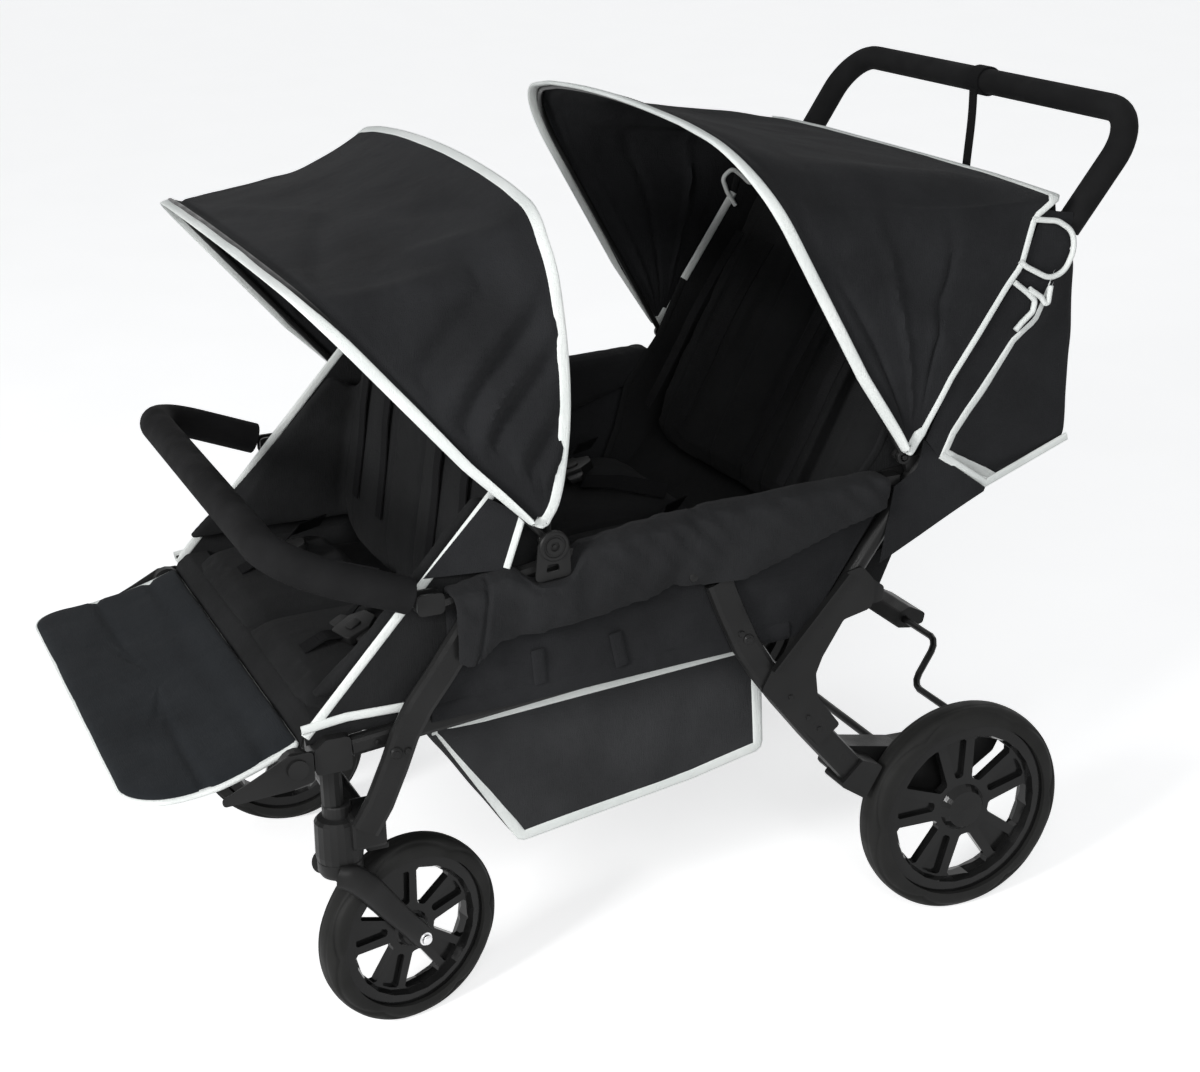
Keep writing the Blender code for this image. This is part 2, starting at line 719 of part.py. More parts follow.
def bracket(side, label):
    """Pressed plate that carries the handle tube's pivot and its latch."""
    outline = side_outline([
        (0.120, 0.374), (0.136, 0.402), (0.240, 0.512), (0.262, 0.516), (0.280, 0.494),
        (0.278, 0.458), (0.236, 0.449), (0.206, 0.404), (0.197, 0.383), (0.200, 0.350),
        (0.232, 0.306), (0.202, 0.282),
    ], [0.006, 0.010, 0.012, 0.010, 0.012, 0.012, 0.008, 0.02, 0.010, 0.012, 0.004, 0.004])
    inner = LEG_X + LEG_WIDTH / 2.0 + GAP
    middle = inner + PLATE_THICKNESS / 2.0
    sheet = plate("rear_bracket_" + label, outline, side * middle, PLATE_THICKNESS, STEEL)
    lip = [(0.1340, 0.4000), (0.2390, 0.5115), (0.2405, 0.5095), (0.1358, 0.3980)]
    pieces = [plate("flange_" + label, lip, side * (middle + FLANGE / 2.0), FLANGE, None)]
    outer = inner + PLATE_THICKNESS
    for index, place in enumerate(((0.161, 0.358), (0.186, 0.325), (0.202, 0.306))):
        pieces.append(rivet("rivet_%d_%s" % (index, label), side * outer, place, side, 0.0042, 0.002))
    return smooth(fuse(sheet, *pieces), 40.0)


def build_rear_frame():
    leg_face = LEG_X + LEG_WIDTH / 2.0
    for side, label in SIDES:
        route = [at(side * LEG_X, place) for place in soft_route(REAR_LEG_ROUTE)]
        leg = oval_tube("rear_leg_" + label, route, LEG_WIDTH, LEG_DEPTH, STEEL)
        head = rivet("rivet_pivot_" + label, side * leg_face, LEG_PIVOT, side)
        smooth(fuse(leg, head), 50.0)
        rear_housing(side, label)
        bracket(side, label)
    reach = REAR_WHEEL_X + REAR_WIDTH / 2.0 - 0.0125
    turned("rear_axle", disc(AXLE_RADIUS, -reach, reach, 0.001), 16, STEEL, axis="X",
           centre=(0.0, *REAR_AXLE))
    build_brake()


def build_brake():
    """Cranked rod between the rear housings with a foot pedal at its middle."""
    end, arm = 0.292 - RUN, 0.135
    route = [at(-end, BRAKE_PIVOT), at(-arm, BRAKE_PIVOT), at(-arm, BRAKE_CRANK),
             at(arm, BRAKE_CRANK), at(arm, BRAKE_PIVOT), at(end, BRAKE_PIVOT)]
    rod = tube("brake_bar", rounded_path(route, 0.018, 3), BRAKE_RADIUS, STEEL)
    pedal_outline = side_outline([offset(BRAKE_CRANK, -0.015, -0.011), offset(BRAKE_CRANK, -0.009, 0.012),
                                  offset(BRAKE_CRANK, 0.009, 0.018), offset(BRAKE_CRANK, 0.035, 0.004),
                                  offset(BRAKE_CRANK, 0.031, -0.011), offset(BRAKE_CRANK, 0.009, -0.015)],
                                 0.005)
    pedal = plate("brake_pedal", pedal_outline, 0.0, 0.090, PLASTIC)
    bore = turned("pedal_bore", disc(BRAKE_RADIUS + 2 * GAP, -0.06, 0.06), 12, None, axis="X",
                  centre=(0.0, *BRAKE_CRANK))
    pedal = smooth(carve(pedal, bore), 40.0)
    hang(holder("brake_axis", at(0.0, BRAKE_PIVOT)), rod, pedal)


# Handle

def build_handle():
    top = along(HANDLE_PIVOT, HANDLE_SLOPE, HANDLE_LENGTH)
    grip_start = along(HANDLE_PIVOT, HANDLE_SLOPE, HANDLE_LENGTH - 0.150)
    corner = 0.045
    loop = [at(-HANDLE_X, HANDLE_PIVOT), at(-HANDLE_X, top), at(HANDLE_X, top),
            at(HANDLE_X, HANDLE_PIVOT)]
    frame = tube("handle_tube", rounded_path(loop, corner, 4), HANDLE_RADIUS, STEEL, 3)
    lugs = [piece for side, label in SIDES for piece in canopy_lug(side, label)]
    frame = smooth(fuse(frame, *lugs), 50.0)
    cover = [at(-HANDLE_X, grip_start), at(-HANDLE_X, top), at(HANDLE_X, top),
             at(HANDLE_X, grip_start)]
    grip = tube("handle_grip", rounded_path(cover, corner, 4), GRIP_RADIUS, FOAM, 3)
    core = [at(-HANDLE_X, along(HANDLE_PIVOT, HANDLE_SLOPE, HANDLE_LENGTH - 0.20)),
            at(-HANDLE_X, top), at(HANDLE_X, top),
            at(HANDLE_X, along(HANDLE_PIVOT, HANDLE_SLOPE, HANDLE_LENGTH - 0.20))]
    bore = tube("grip_bore", rounded_path(core, corner, 4), HANDLE_RADIUS + 2 * GAP, None, 3)
    grip = smooth(carve(grip, bore), 50.0)
    strap = build_handle_strap(top)
    hang(holder("handle_axis", at(0.0, HANDLE_PIVOT)), frame, grip, strap)
    inner = HANDLE_X + HANDLE_RADIUS + RUN
    outer = LEG_X + LEG_WIDTH / 2.0 - GAP
    for side, label in SIDES:
        outline = side_outline([(0.246, 0.488), (0.262, 0.508), (0.296, 0.482), (0.292, 0.462),
                                (0.270, 0.462)], 0.006)
        latch = plate("fold_latch_" + label, outline, side * (inner + outer) / 2.0, outer - inner,
                      PLASTIC)
        hang(holder("latch_axis_" + label, at(side * inner, LATCH_PIVOT)), smooth(latch, 40.0))


def canopy_lug(side, label):
    """Clamp plate round the handle tube with the pin of the rear canopy's hub."""
    def place(reach, aside):
        return along(HANDLE_PIVOT, HANDLE_SLOPE, CANOPY_LUG_REACH + reach, aside)

    tip = CANOPY_LUG_ASIDE + 0.0075
    outline = side_outline([place(-0.013, 0.0), place(-0.013, 0.012), place(-0.007, 0.020),
                            place(-0.007, tip), place(0.007, tip), place(0.007, 0.020),
                            place(0.013, 0.012), place(0.013, 0.0)],
                           [0.0, 0.003, 0.004, 0.006, 0.006, 0.004, 0.003, 0.0])
    lug = plate("canopy_lug_" + label, outline, side * HANDLE_X, 0.009, None)
    pin = turned("canopy_pin_" + label, disc(PIN_RADIUS, -0.0125, 0.0125), 8, None,
                 centre=at(side * (HANDLE_X + 0.0045), REAR_HUB))
    return [lug, pin]


def build_handle_strap(top):
    """Webbing looped over the middle of the handle, hanging to the backrest."""
    ring = turned("strap_ring", [(GRIP_RADIUS + 0.0024, 0.0125), (GRIP_RADIUS + 0.0024, -0.0125),
                                 (GRIP_RADIUS + GAP, -0.0125), (GRIP_RADIUS + GAP, 0.0125)],
                  20, None, axis="X", centre=at(0.0, top))
    drop = box("strap_drop", (-0.0110, top[0] - 0.0130, top[1] - 0.0990),
               (0.0110, top[0] - 0.0110, top[1] - 0.0140), None)
    drop.data.transform(Matrix.Translation(at(0.0, (top[0] - 0.012, top[1] - 0.014)))
                        @ Matrix.Rotation(math.radians(-30.0), 4, "X")
                        @ Matrix.Translation(-at(0.0, (top[0] - 0.012, top[1] - 0.014))))
    return fuse(renamed(ring, "handle_strap"), drop)


def renamed(obj, name):
    obj.name = name
    if not obj.data.materials or obj.data.materials[0] is None:
        obj.data.materials.clear()
        obj.data.materials.append(FABRIC)
    return obj


# Armrests, bumper bar and canopies

# Top line of the armrest's cover, which the tube follows underneath
COVER_TOP = [(-0.2830, 0.5770), (-0.2150, 0.5920), (-0.1300, 0.6060), (-0.0280, 0.6210),
             (0.0800, 0.6290), (0.1800, 0.6320), (0.3040, 0.6360)]
COVER_CLOTH = 0.0085
ARMREST_DROP = COVER_CLOTH + ARMREST_RADIUS + RUN
ARMREST_ROUTE = [(y, z - ARMREST_DROP) for y, z in COVER_TOP]
ARMREST_ROUTE[0] = (-0.2900, 0.5570)
ARMREST_ROUTE[-1] = (0.3000, 0.6165)


def armrest_tube(side, label):
    """Armrest tube with its tangs to the front leg and handle tube, and the bumper's socket."""
    route = [at(side * ARMREST_X, place) for place in soft_route(ARMREST_ROUTE)]
    body = tube("armrest_tube_" + label, route, ARMREST_RADIUS, STEEL)
    leg_inner = LEG_X - LEG_WIDTH / 2.0
    tang_x = leg_inner - RUN - 0.002
    front = side_outline([(-0.258, 0.530), (-0.232, 0.530), (-0.224, 0.556), (-0.226, 0.574),
                          (-0.262, 0.566)], 0.005)
    pieces = [plate("tang_front_" + label, front, side * tang_x, 0.004, None)]
    pin = along(HANDLE_PIVOT, HANDLE_SLOPE, ARMREST_REACH)
    rear = side_outline([(0.306, 0.6120), (pin[0] + 0.006, pin[1] - 0.010),
                         (pin[0] + 0.009, pin[1] + 0.008), (0.306, 0.6250)], 0.003)
    rear_x = HANDLE_X - HANDLE_RADIUS - 2.0 * RUN - 0.0015
    pieces.append(plate("tang_rear_" + label, rear, side * rear_x, 0.003, None))
    neck = ((0.290, 0.306, ARMREST_X - 0.0085, ARMREST_X + 0.0085),
            (0.3055, 0.3200, rear_x - 0.0015, ARMREST_X + 0.0085))
    for index, (start, end, inner, outer) in enumerate(neck):
        low = (min(side * inner, side * outer), start, 0.6120)
        high = (max(side * inner, side * outer), end, 0.6240)
        pieces.append(box("neck_%s_%d" % (label, index), low, high, None))
    for cheek in (-1, 1):
        outline = side_outline([(-0.3180, 0.5500), (-0.2845, 0.5500), (-0.2845, 0.5760),
                                (-0.3180, 0.5760)], 0.006)
        x = ARMREST_X + cheek * 0.0085
        pieces.append(plate("cheek_%s_%d" % (label, cheek), outline, side * x, 0.004, None))
    return smooth(fuse(body, *pieces), 50.0)


def armrest_cover(side, label):
    """Padded cover: an upside-down U over the armrest tube with a scalloped lower edge."""
    inner, outer = 0.3305, 0.3725
    wall = 0.0055
    lower = [(-0.283, 0.490), (-0.262, 0.480), (-0.225, 0.500), (-0.150, 0.510), (-0.080, 0.512),
             (-0.035, 0.520), (0.000, 0.531), (0.050, 0.524), (0.100, 0.525), (0.165, 0.545),
             (0.235, 0.568), (0.296, 0.592)]
    upper = list(reversed(COVER_TOP))
    outline = side_outline(lower + upper, [0.01] + [0.0] * 10 + [0.01, 0.012] + [0.0] * 5 + [0.006])
    block = plate("armrest_cover_" + label, outline, side * (inner + outer) / 2.0, outer - inner,
                  PADDING)
    hollow = [(point[0], point[1] - COVER_CLOTH) for point in COVER_TOP]
    hollow = [(-0.33, 0.5600)] + hollow[1:-1] + [(0.33, 0.6285), (0.33, 0.40), (-0.33, 0.40)]
    cutter = plate("cover_hollow_" + label, hollow, side * (inner + outer) / 2.0,
                   outer - inner - 2 * wall, None)
    return smooth(carve(block, cutter), 50.0)


def build_armrests():
    for side, label in SIDES:
        armrest_tube(side, label)
        armrest_cover(side, label)


def build_bumper():
    """Foam-covered bar across the front, hinged at both ends."""
    rise = math.radians(22.0)
    reach = 0.186
    start = (BUMPER_PIVOT[0] - 0.024 * math.cos(rise), BUMPER_PIVOT[1] + 0.024 * math.sin(rise))
    front = (BUMPER_PIVOT[0] - reach * math.cos(rise), BUMPER_PIVOT[1] + reach * math.sin(rise))
    route = [at(-ARMREST_X, start), at(-ARMREST_X, front), at(ARMREST_X, front),
             at(ARMREST_X, start)]
    bar = tube("bumper_bar", rounded_path(route, 0.055, 5), BUMPER_RADIUS, FOAM, 3)
    tools = []
    for side in (1, -1):
        inside = (BUMPER_PIVOT[0] - 0.03 * math.cos(rise), BUMPER_PIVOT[1] + 0.03 * math.sin(rise))
        stub = tube("stub_%d" % side, [at(side * ARMREST_X, BUMPER_PIVOT),
                                       at(side * ARMREST_X, inside)], 0.0060, None)
        tools.append(stub)
    bar = smooth(fuse(bar, *tools), 50.0)
    hang(holder("bumper_axis", at(0.0, BUMPER_PIVOT)), bar)


def bow_route(hub, lean, length, half, crown, start=0.0, corner=0.060, steps=3):
    """A canopy bow in a plane through the hub axis, leaning forward from upright."""
    up = Vector((0.0, -math.sin(lean), math.cos(lean)))
    base = at(0.0, hub)
    arch = []
    for index in range(1, 4):
        part = -1.0 + index / 2.0
        arch.append(base + Vector((part * half, 0, 0)) + up * (length + crown * (1 - part * part)))
    route = [base + Vector((-half, 0, 0)) + up * start, base + Vector((-half, 0, 0)) + up * length]
    route += arch
    route += [base + Vector((half, 0, 0)) + up * length, base + Vector((half, 0, 0)) + up * start]
    radii = [0.0, corner] + [0.0] * len(arch) + [corner, 0.0]
    return rounded_path(route, radii, steps)


# Each bow: lean from upright, length to its corner, rise of its middle, half width
FRONT_BOWS = {"rear": (math.radians(-2.2), 0.376, 0.018, 0.3585),
              "middle": (math.radians(18.5), 0.336, 0.022, 0.3500),
              "front": (math.radians(40.0), 0.408, 0.016, 0.3670)}
REAR_BOW = (math.radians(28.0), 0.436, 0.020, 0.3585)
CLOTH_OFFSET = BOW_RADIUS + 0.0022


def bow(name, hub, shape):
    """A bow with an eye at each end that turns on the hub's pin."""
    lean, length, crown, half = shape
    route = bow_route(hub, lean, length, half, crown, EYE_RADIUS - BOW_ROOT)
    rod = tube(name, route, BOW_RADIUS, STEEL, 1)
    ring = [(EYE_RADIUS, 0.0030), (EYE_RADIUS, -0.0030), (PIN_RADIUS + 0.0005, -0.0030),
            (PIN_RADIUS + 0.0005, 0.0030)]
    eyes = [turned("eye_%s_%d" % (name, side), ring, 12, None, centre=at(side * half, hub))
            for side in (1, -1)]
    return smooth(fuse(rod, *eyes), 50.0)


def stepped_pin(name, side, hub, steps):
    """A turned pin along X, from (radius, inner x, outer x) steps listed outwards."""
    profile = [(0.0, steps[-1][2])]
    for radius, inner, outer in reversed(steps):
        profile += [(radius, outer), (radius, inner)]
    profile.append((0.0, steps[0][1]))
    pin = turned(name, profile, 10, None, centre=at(0.0, hub))
    if side < 0:
        about_hub = Matrix.Translation(at(0.0, (2.0 * hub[0], 0.0)))
        pin.data.transform(about_hub @ Matrix.Rotation(math.pi, 4, "Z"))
    return pin


def front_fixed_bow():
    """Rear bow of the front canopy, fixed to the pin, cap and clip at each side."""
    lean, length, crown, half = FRONT_BOWS["rear"]
    route = bow_route(FRONT_HUB, lean, length, half, crown, EYE_RADIUS - BOW_ROOT)
    rod = tube("front_canopy_rear_bow", route, BOW_RADIUS, STEEL, 1)
    pieces = []
    for side, label in SIDES:
        steps = [(PIN_RADIUS, 0.3440, half - 0.003), (EYE_RADIUS, half - 0.003, half + 0.003),
                 (PIN_RADIUS, half + 0.003, HUB_X - 0.003), (HUB_RADIUS, HUB_X - 0.003, HUB_X + 0.002)]
        pieces.append(stepped_pin("hub_" + label, side, FRONT_HUB, steps))
        clip = side_outline([(-0.1800, 0.5740), (-0.1340, 0.5780), (-0.1360, 0.6240),
                             (-0.1740, 0.6240)], 0.006)
        window = side_outline([(-0.1660, 0.5850), (-0.1480, 0.5860), (-0.1500, 0.5950),
                               (-0.1640, 0.5950)], 0.003)
        leaf = plate("clip_" + label, clip, side * HUB_X, 0.0030, None)
        pieces.append(carve(leaf, plate("clip_window_" + label, window, side * HUB_X, 0.02, None)))
    return smooth(fuse(rod, *pieces), 50.0)


def cloth_sheet(name, rows, thickness, material, flip=False):
    """A sheet lofted through rows of points and thickened outwards."""
    mesh = bpy.data.meshes.new(name)
    work = bmesh.new()
    grid = [[work.verts.new(point) for point in row] for row in rows]
    for lower, upper in zip(grid, grid[1:]):
        for index in range(len(lower) - 1):
            face = (lower[index], lower[index + 1], upper[index + 1], upper[index])
            work.faces.new(list(reversed(face)) if flip else face)
    work.to_mesh(mesh)
    work.free()
    made = add_mesh(name, mesh, material)
    shell = made.modifiers.new("thickness", "SOLIDIFY")
    shell.thickness = thickness
    shell.offset = 1.0
    shell.use_even_offset = True
    bpy.context.view_layer.update()
    return smooth(baked(made), 50.0)


def blended(first, second, part, sag=0.0):
    """A row between two rows of points, drawn in towards the middle of the hood by sag."""
    row = []
    count = len(first) - 1
    for index, (a, b) in enumerate(zip(first, second)):
        point = a.lerp(b, part)
        high = math.sin(math.pi * index / count)
        point.z -= sag * high * math.sin(math.pi * part)
        row.append(point)
    return row


def hood_row(hub, shape, start, offset=CLOTH_OFFSET):
    lean, length, crown, half = shape
    return bow_route(hub, lean, length + offset, half + offset, crown, start, corner=0.064, steps=3)


def build_front_canopy():
    rows = []
    start = 0.030
    widest = max(shape[3] for shape in FRONT_BOWS.values())
    order = [hood_row(FRONT_HUB, (*FRONT_BOWS[key][:3], widest), start)
             for key in ("rear", "middle", "front")]
    for first, second in zip(order, order[1:]):
        rows.append(first)
        rows.append(blended(first, second, 0.5, 0.006))
    rows.append(order[-1])
    cloth_sheet("front_canopy", rows, CLOTH, FABRIC, flip=True)
    for key in ("middle", "front"):
        made = bow("front_canopy_%s_bow" % key, FRONT_HUB, FRONT_BOWS[key])
        hang(holder("front_canopy_%s_axis" % key, at(0.0, FRONT_HUB)), made)
    front_fixed_bow()


def rear_edge_row(count, start_part=0.0):
    """Rear edge of the rear canopy: up along the handle tube, over the top trim and down."""
    side_line = [(0.352, 0.688), (0.386, 0.742), (0.424, 0.792), (0.470, 0.850), (0.496, 0.905)]
    top = (0.526, 0.955)
    half = REAR_BOW[3] + CLOTH_OFFSET + 0.005
    path = [at(-half, place) for place in side_line]
    path.append(at(-half, top))
    path += [at(part * half, (top[0], top[1] + 0.004)) for part in (-0.5, 0.0, 0.5)]
    path.append(at(half, top))
    path += [at(half, place) for place in reversed(side_line)]
    radii = [0.0] * 5 + [0.03] + [0.0] * 3 + [0.03] + [0.0] * 5
    return resampled(rounded_path(path, radii, 3), count)


def resampled(path, count):
    """The same path with evenly spread points."""
    lengths = [0.0]
    for first, second in zip(path, path[1:]):
        lengths.append(lengths[-1] + (second - first).length)
    result = []
    index = 0
    for step in range(count):
        target = lengths[-1] * step / (count - 1)
        while index < len(lengths) - 2 and lengths[index + 1] < target:
            index += 1
        run = lengths[index + 1] - lengths[index]
        result.append(path[index].lerp(path[index + 1], (target - lengths[index]) / run))
    return result


def build_rear_canopy():
    count = 25
    front = resampled(hood_row(REAR_HUB, REAR_BOW, 0.028, CLOTH_OFFSET + 0.005), count)
    rear = rear_edge_row(count)
    rows = [rear]
    for part in (0.25, 0.5, 0.75):
        rows.append(blended(rear, front, part, 0.008))
    rows.append(front)
    cloth_sheet("rear_canopy", rows, CLOTH, FABRIC, flip=True)
    made = bow("rear_canopy_bow", REAR_HUB, REAR_BOW)
    hang(holder("rear_canopy_axis", at(0.0, REAR_HUB)), made)


def build_rear_panel():
    """Cloth bag that closes the back of the rear seats behind the handle tubes."""
    half = 0.330
    back = [(0.520, 0.950), (0.560, 0.905), (0.583, 0.861), (0.586, 0.760), (0.583, 0.625),
            (0.470, 0.588)]
    rows = []
    for y, z in back:
        rows.append([at(-half, (y, z)), at(-half * 0.97, (y + 0.004, z)), at(0.0, (y + 0.006, z)),
                     at(half * 0.97, (y + 0.004, z)), at(half, (y, z))])
    mesh = bpy.data.meshes.new("rear_panel")
    work = bmesh.new()
    grid = [[work.verts.new(point) for point in row] for row in rows]
    for upper, lower in zip(grid, grid[1:]):
        for index in range(len(upper) - 1):
            work.faces.new((upper[index], lower[index], lower[index + 1], upper[index + 1]))
    front_edge = [(0.520, 0.950), (0.514, 0.862), (0.512, 0.810), (0.470, 0.752), (0.415, 0.684),
                  (0.398, 0.640)]
    for side, column in ((-1, 0), (1, 4)):
        edge = [work.verts.new(at(side * half, place)) for place in front_edge[1:]]
        seam = [row[column] for row in grid]
        edge = [seam[0]] + edge
        for index in range(len(seam) - 1):
            corners = [seam[index], seam[index + 1], edge[index + 1], edge[index]]
            if index == 0:
                corners = corners[:3]
            work.faces.new(corners if side < 0 else list(reversed(corners)))
    bmesh.ops.recalc_face_normals(work, faces=work.faces)
    work.to_mesh(mesh)
    work.free()
    made = add_mesh("rear_panel", mesh, FABRIC)
    shell = made.modifiers.new("thickness", "SOLIDIFY")
    shell.thickness = CLOTH
    shell.offset = -1.0
    shell.use_even_offset = True
    bpy.context.view_layer.update()
    return smooth(baked(made), 50.0)


# Seats

def pad(name, width, length, thickness, crown, place):
    """Two crowned seats on local XY, with a valley between them and drawn-in sides."""
    mesh = bpy.data.meshes.new(name)
    work = bmesh.new()
    bmesh.ops.create_cube(work, size=2.0)
    for axis, stations in enumerate(((-0.52, -0.10, 0.0, 0.10, 0.52), (-0.45, 0.45), (0.0,))):
        normal = Vector((0.0, 0.0, 0.0))
        normal[axis] = 1.0
        for station in stations:
            bmesh.ops.bisect_plane(work, geom=work.verts[:] + work.edges[:] + work.faces[:],
                                   plane_co=normal * station, plane_no=normal)
    for vert in work.verts:
        u, v, w = vert.co
        lobe = abs(math.sin(math.pi * u))
        drawn = 1.0 - PAD_DRAW * (1.0 - abs(u * v)) - PAD_EDGE * w * w
        valley = PAD_VALLEY * thickness * max(0.0, 1.0 - abs(u) / 0.1)
        swell = (crown * lobe * (1.0 - v * v) - valley) if w > 0.0 else 0.0
        vert.co = (u * drawn * width / 2.0, v * drawn * length / 2.0, w * thickness / 2.0 + swell)
    work.to_mesh(mesh)
    work.free()
    mesh.transform(place)
    made = add_mesh(name, mesh, PADDING)
    surface = made.modifiers.new("soft_form", "SUBSURF")
    surface.levels = 1
    surface.render_levels = 1
    bpy.context.view_layer.update()
    return smooth(baked(made), 60.0)


def lay_pad(name, low_station, high_station, thickness, crown):
    """Place a pair of seats between two (y, z) stations of their underside."""
    start = Vector(low_station)
    end = Vector(high_station)
    slope = math.atan2(end.y - start.y, end.x - start.x)
    middle = (start + end) / 2.0
    place = Matrix.Translation((0.0, middle.x, middle.y)) @ Matrix.Rotation(slope, 4, "X")
    place = place @ Matrix.Translation((0.0, 0.0, thickness / 2.0))
    return pad(name, 2.0 * SEAT_HALF, (end - start).length, thickness, crown, place)


def build_seats():
    lay_pad("front_seat", (-0.454, 0.4080), (-0.226, 0.4100), PAD_THICKNESS, 0.010)
    back = lay_pad("front_back", (-0.196, 0.4200), (-0.118, 0.8350), PAD_THICKNESS, 0.010)
    wings = []
    for side, label in SIDES:
        outline = side_outline([(-0.452, 0.4480), (-0.222, 0.6700), (-0.182, 0.6500),
                                (-0.150, 0.5960), (-0.180, 0.4480)], 0.004)
        wings.append(plate("wing_" + label, outline, side * (SEAT_HALF - 0.006), WING, None))
    smooth(fuse(back, *wings), 50.0)
    lay_pad("rear_seat", (-0.030, 0.4520), (0.226, 0.4620), PAD_THICKNESS, 0.010)
    rear_back = lay_pad("rear_back", (0.278, 0.4900), (0.512, 0.9100), PAD_THICKNESS, 0.010)
    hang(holder("rear_back_axis", at(0.0, REAR_BACK_PIVOT)), rear_back)
    box("foot_well", (-SEAT_HALF + 0.006, -0.172, 0.4040), (SEAT_HALF - 0.006, -0.052, 0.4080),
        FABRIC)


def bend_board(board):
    """Raise the board's rear edge to the seat and keep its front flat."""
    work = bmesh.new()
    work.from_mesh(board.data)
    for station in (-0.490, -0.530):
        bmesh.ops.bisect_plane(work, geom=work.verts[:] + work.edges[:] + work.faces[:],
                               plane_co=(0.0, station, 0.0), plane_no=(0.0, 1.0, 0.0))
    for vert in work.verts:
        rise = max(0.0, (vert.co.y + 0.610) / 0.150)
        vert.co.z += BOARD_HEIGHT + 0.036 * rise ** 1.7
    work.to_mesh(board.data)
    work.free()


def build_footrest():
    """Padded board in front of the seats, on two hinge arms."""
    plan = [(0.322, -0.4600, 0.0), (0.332, -0.5600, 0.0), (0.330, -0.6655, 0.0),
            (-0.330, -0.6655, 0.0), (-0.332, -0.5600, 0.0), (-0.322, -0.4600, 0.0)]
    corners = [0.006, 0.0, 0.085, 0.085, 0.0, 0.006]
    board = prism("footrest_board", rounded_path(plan, corners, 5, closed=True),
                  -BOARD_THICKNESS / 2.0, BOARD_THICKNESS / 2.0)
    board.data.materials.append(PADDING)
    bend_board(board)
    bevel(board, 0.006, 1)
    bpy.context.view_layer.update()
    board = smooth(baked(board), 50.0)
    arms = []
    outer = RAIL_X + RAIL_WIDTH / 2.0 + RUN
    for side, label in SIDES:
        arm = side_outline([offset(FOOTREST_PIVOT, 0.020, -0.020), offset(FOOTREST_PIVOT, 0.020, 0.018),
                            offset(FOOTREST_PIVOT, -0.010, 0.018), (-0.520, BOARD_HEIGHT + 0.015),
                            (-0.560, BOARD_HEIGHT - 0.003), (-0.560, BOARD_HEIGHT - 0.013),
                            (-0.480, BOARD_HEIGHT - 0.009)], 0.006)
        piece = plate("arm_" + label, arm, side * (outer + 0.0015), 0.003, None)
        hole = turned("arm_hole_" + label, disc(0.0130, -0.4, 0.4), 16, None,
                      centre=at(0.0, FOOTREST_PIVOT))
        piece = carve(piece, hole)
        low = (min(side * 0.300, side * (outer + 0.002)), -0.556, BOARD_HEIGHT - 0.009)
        high = (max(side * 0.300, side * (outer + 0.002)), -0.520, BOARD_HEIGHT + 0.002)
        arms += [piece, box("arm_foot_" + label, low, high, None)]
    board = smooth(fuse(board, *arms), 50.0)
    board.name = "footrest"
    hang(holder("footrest_axis", at(0.0, FOOTREST_PIVOT)), board)


def build_side_panels():
    """Cloth between the side rail and the armrest, beside the seats."""
    for side, label in SIDES:
        outline = side_outline([(-0.296, 0.4140), (0.186, 0.4300), (0.232, 0.5000), (0.292, 0.5860),
                                (0.286, 0.6020), (0.100, 0.5950), (-0.028, 0.5880),
                                (-0.150, 0.5720), (-0.212, 0.5400), (-0.262, 0.5050),
                                (-0.285, 0.4900)], 0.004)
        panel = plate("side_panel_" + label, outline, side * PANEL_X, 0.0036, FABRIC)
        smooth(panel, 50.0)


def build_basket():
    """Open-topped cloth basket that hangs between the rails."""
    profile = side_outline([(-0.287, 0.3760), (-0.176, 0.2020), (0.062, 0.2350), (0.163, 0.2520),
                            (0.160, 0.4050)], [0.0, 0.03, 0.0, 0.02, 0.0])
    made = plate("basket", profile, 0.0, 2.0 * BASKET_HALF, FABRIC)
    work = bmesh.new()
    work.from_mesh(made.data)
    mouth = [face for face in work.faces if face.normal.z > 0.9]
    bmesh.ops.delete(work, geom=mouth, context="FACES")
    work.to_mesh(made.data)
    work.free()
    shell = made.modifiers.new("thickness", "SOLIDIFY")
    shell.thickness = CLOTH
    shell.offset = -1.0
    shell.use_even_offset = True
    bpy.context.view_layer.update()
    return smooth(baked(made), 40.0)


build_rear_wheels()
build_casters()
build_front_frame()
build_rear_frame()
build_handle()
build_armrests()
build_bumper()
build_front_canopy()
build_rear_canopy()
build_rear_panel()
build_seats()
build_footrest()
build_side_panels()
build_basket()
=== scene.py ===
"""Looks of the four-seat stroller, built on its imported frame.

Units are metres in the frame's own axes: the stroller faces -Y, +Z is up and the left side is +X.
"""
import math

import bmesh
import bpy
import numpy as np
from mathutils import Matrix, Vector, noise


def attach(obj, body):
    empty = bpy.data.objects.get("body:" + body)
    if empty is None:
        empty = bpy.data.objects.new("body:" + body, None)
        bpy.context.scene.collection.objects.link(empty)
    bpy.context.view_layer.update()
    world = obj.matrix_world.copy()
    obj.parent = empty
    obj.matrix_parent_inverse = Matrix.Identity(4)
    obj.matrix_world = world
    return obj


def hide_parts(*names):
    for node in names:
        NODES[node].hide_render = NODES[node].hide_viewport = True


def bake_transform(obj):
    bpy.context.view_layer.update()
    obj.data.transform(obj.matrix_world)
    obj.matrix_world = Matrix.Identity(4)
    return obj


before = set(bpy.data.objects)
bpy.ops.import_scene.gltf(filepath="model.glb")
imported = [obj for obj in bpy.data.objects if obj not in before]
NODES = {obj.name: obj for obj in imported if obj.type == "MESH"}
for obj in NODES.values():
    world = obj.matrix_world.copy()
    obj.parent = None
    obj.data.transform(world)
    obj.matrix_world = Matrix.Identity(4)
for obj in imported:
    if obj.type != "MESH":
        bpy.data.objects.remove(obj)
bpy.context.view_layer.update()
SIDES = ((1, "left"), (-1, "right"))

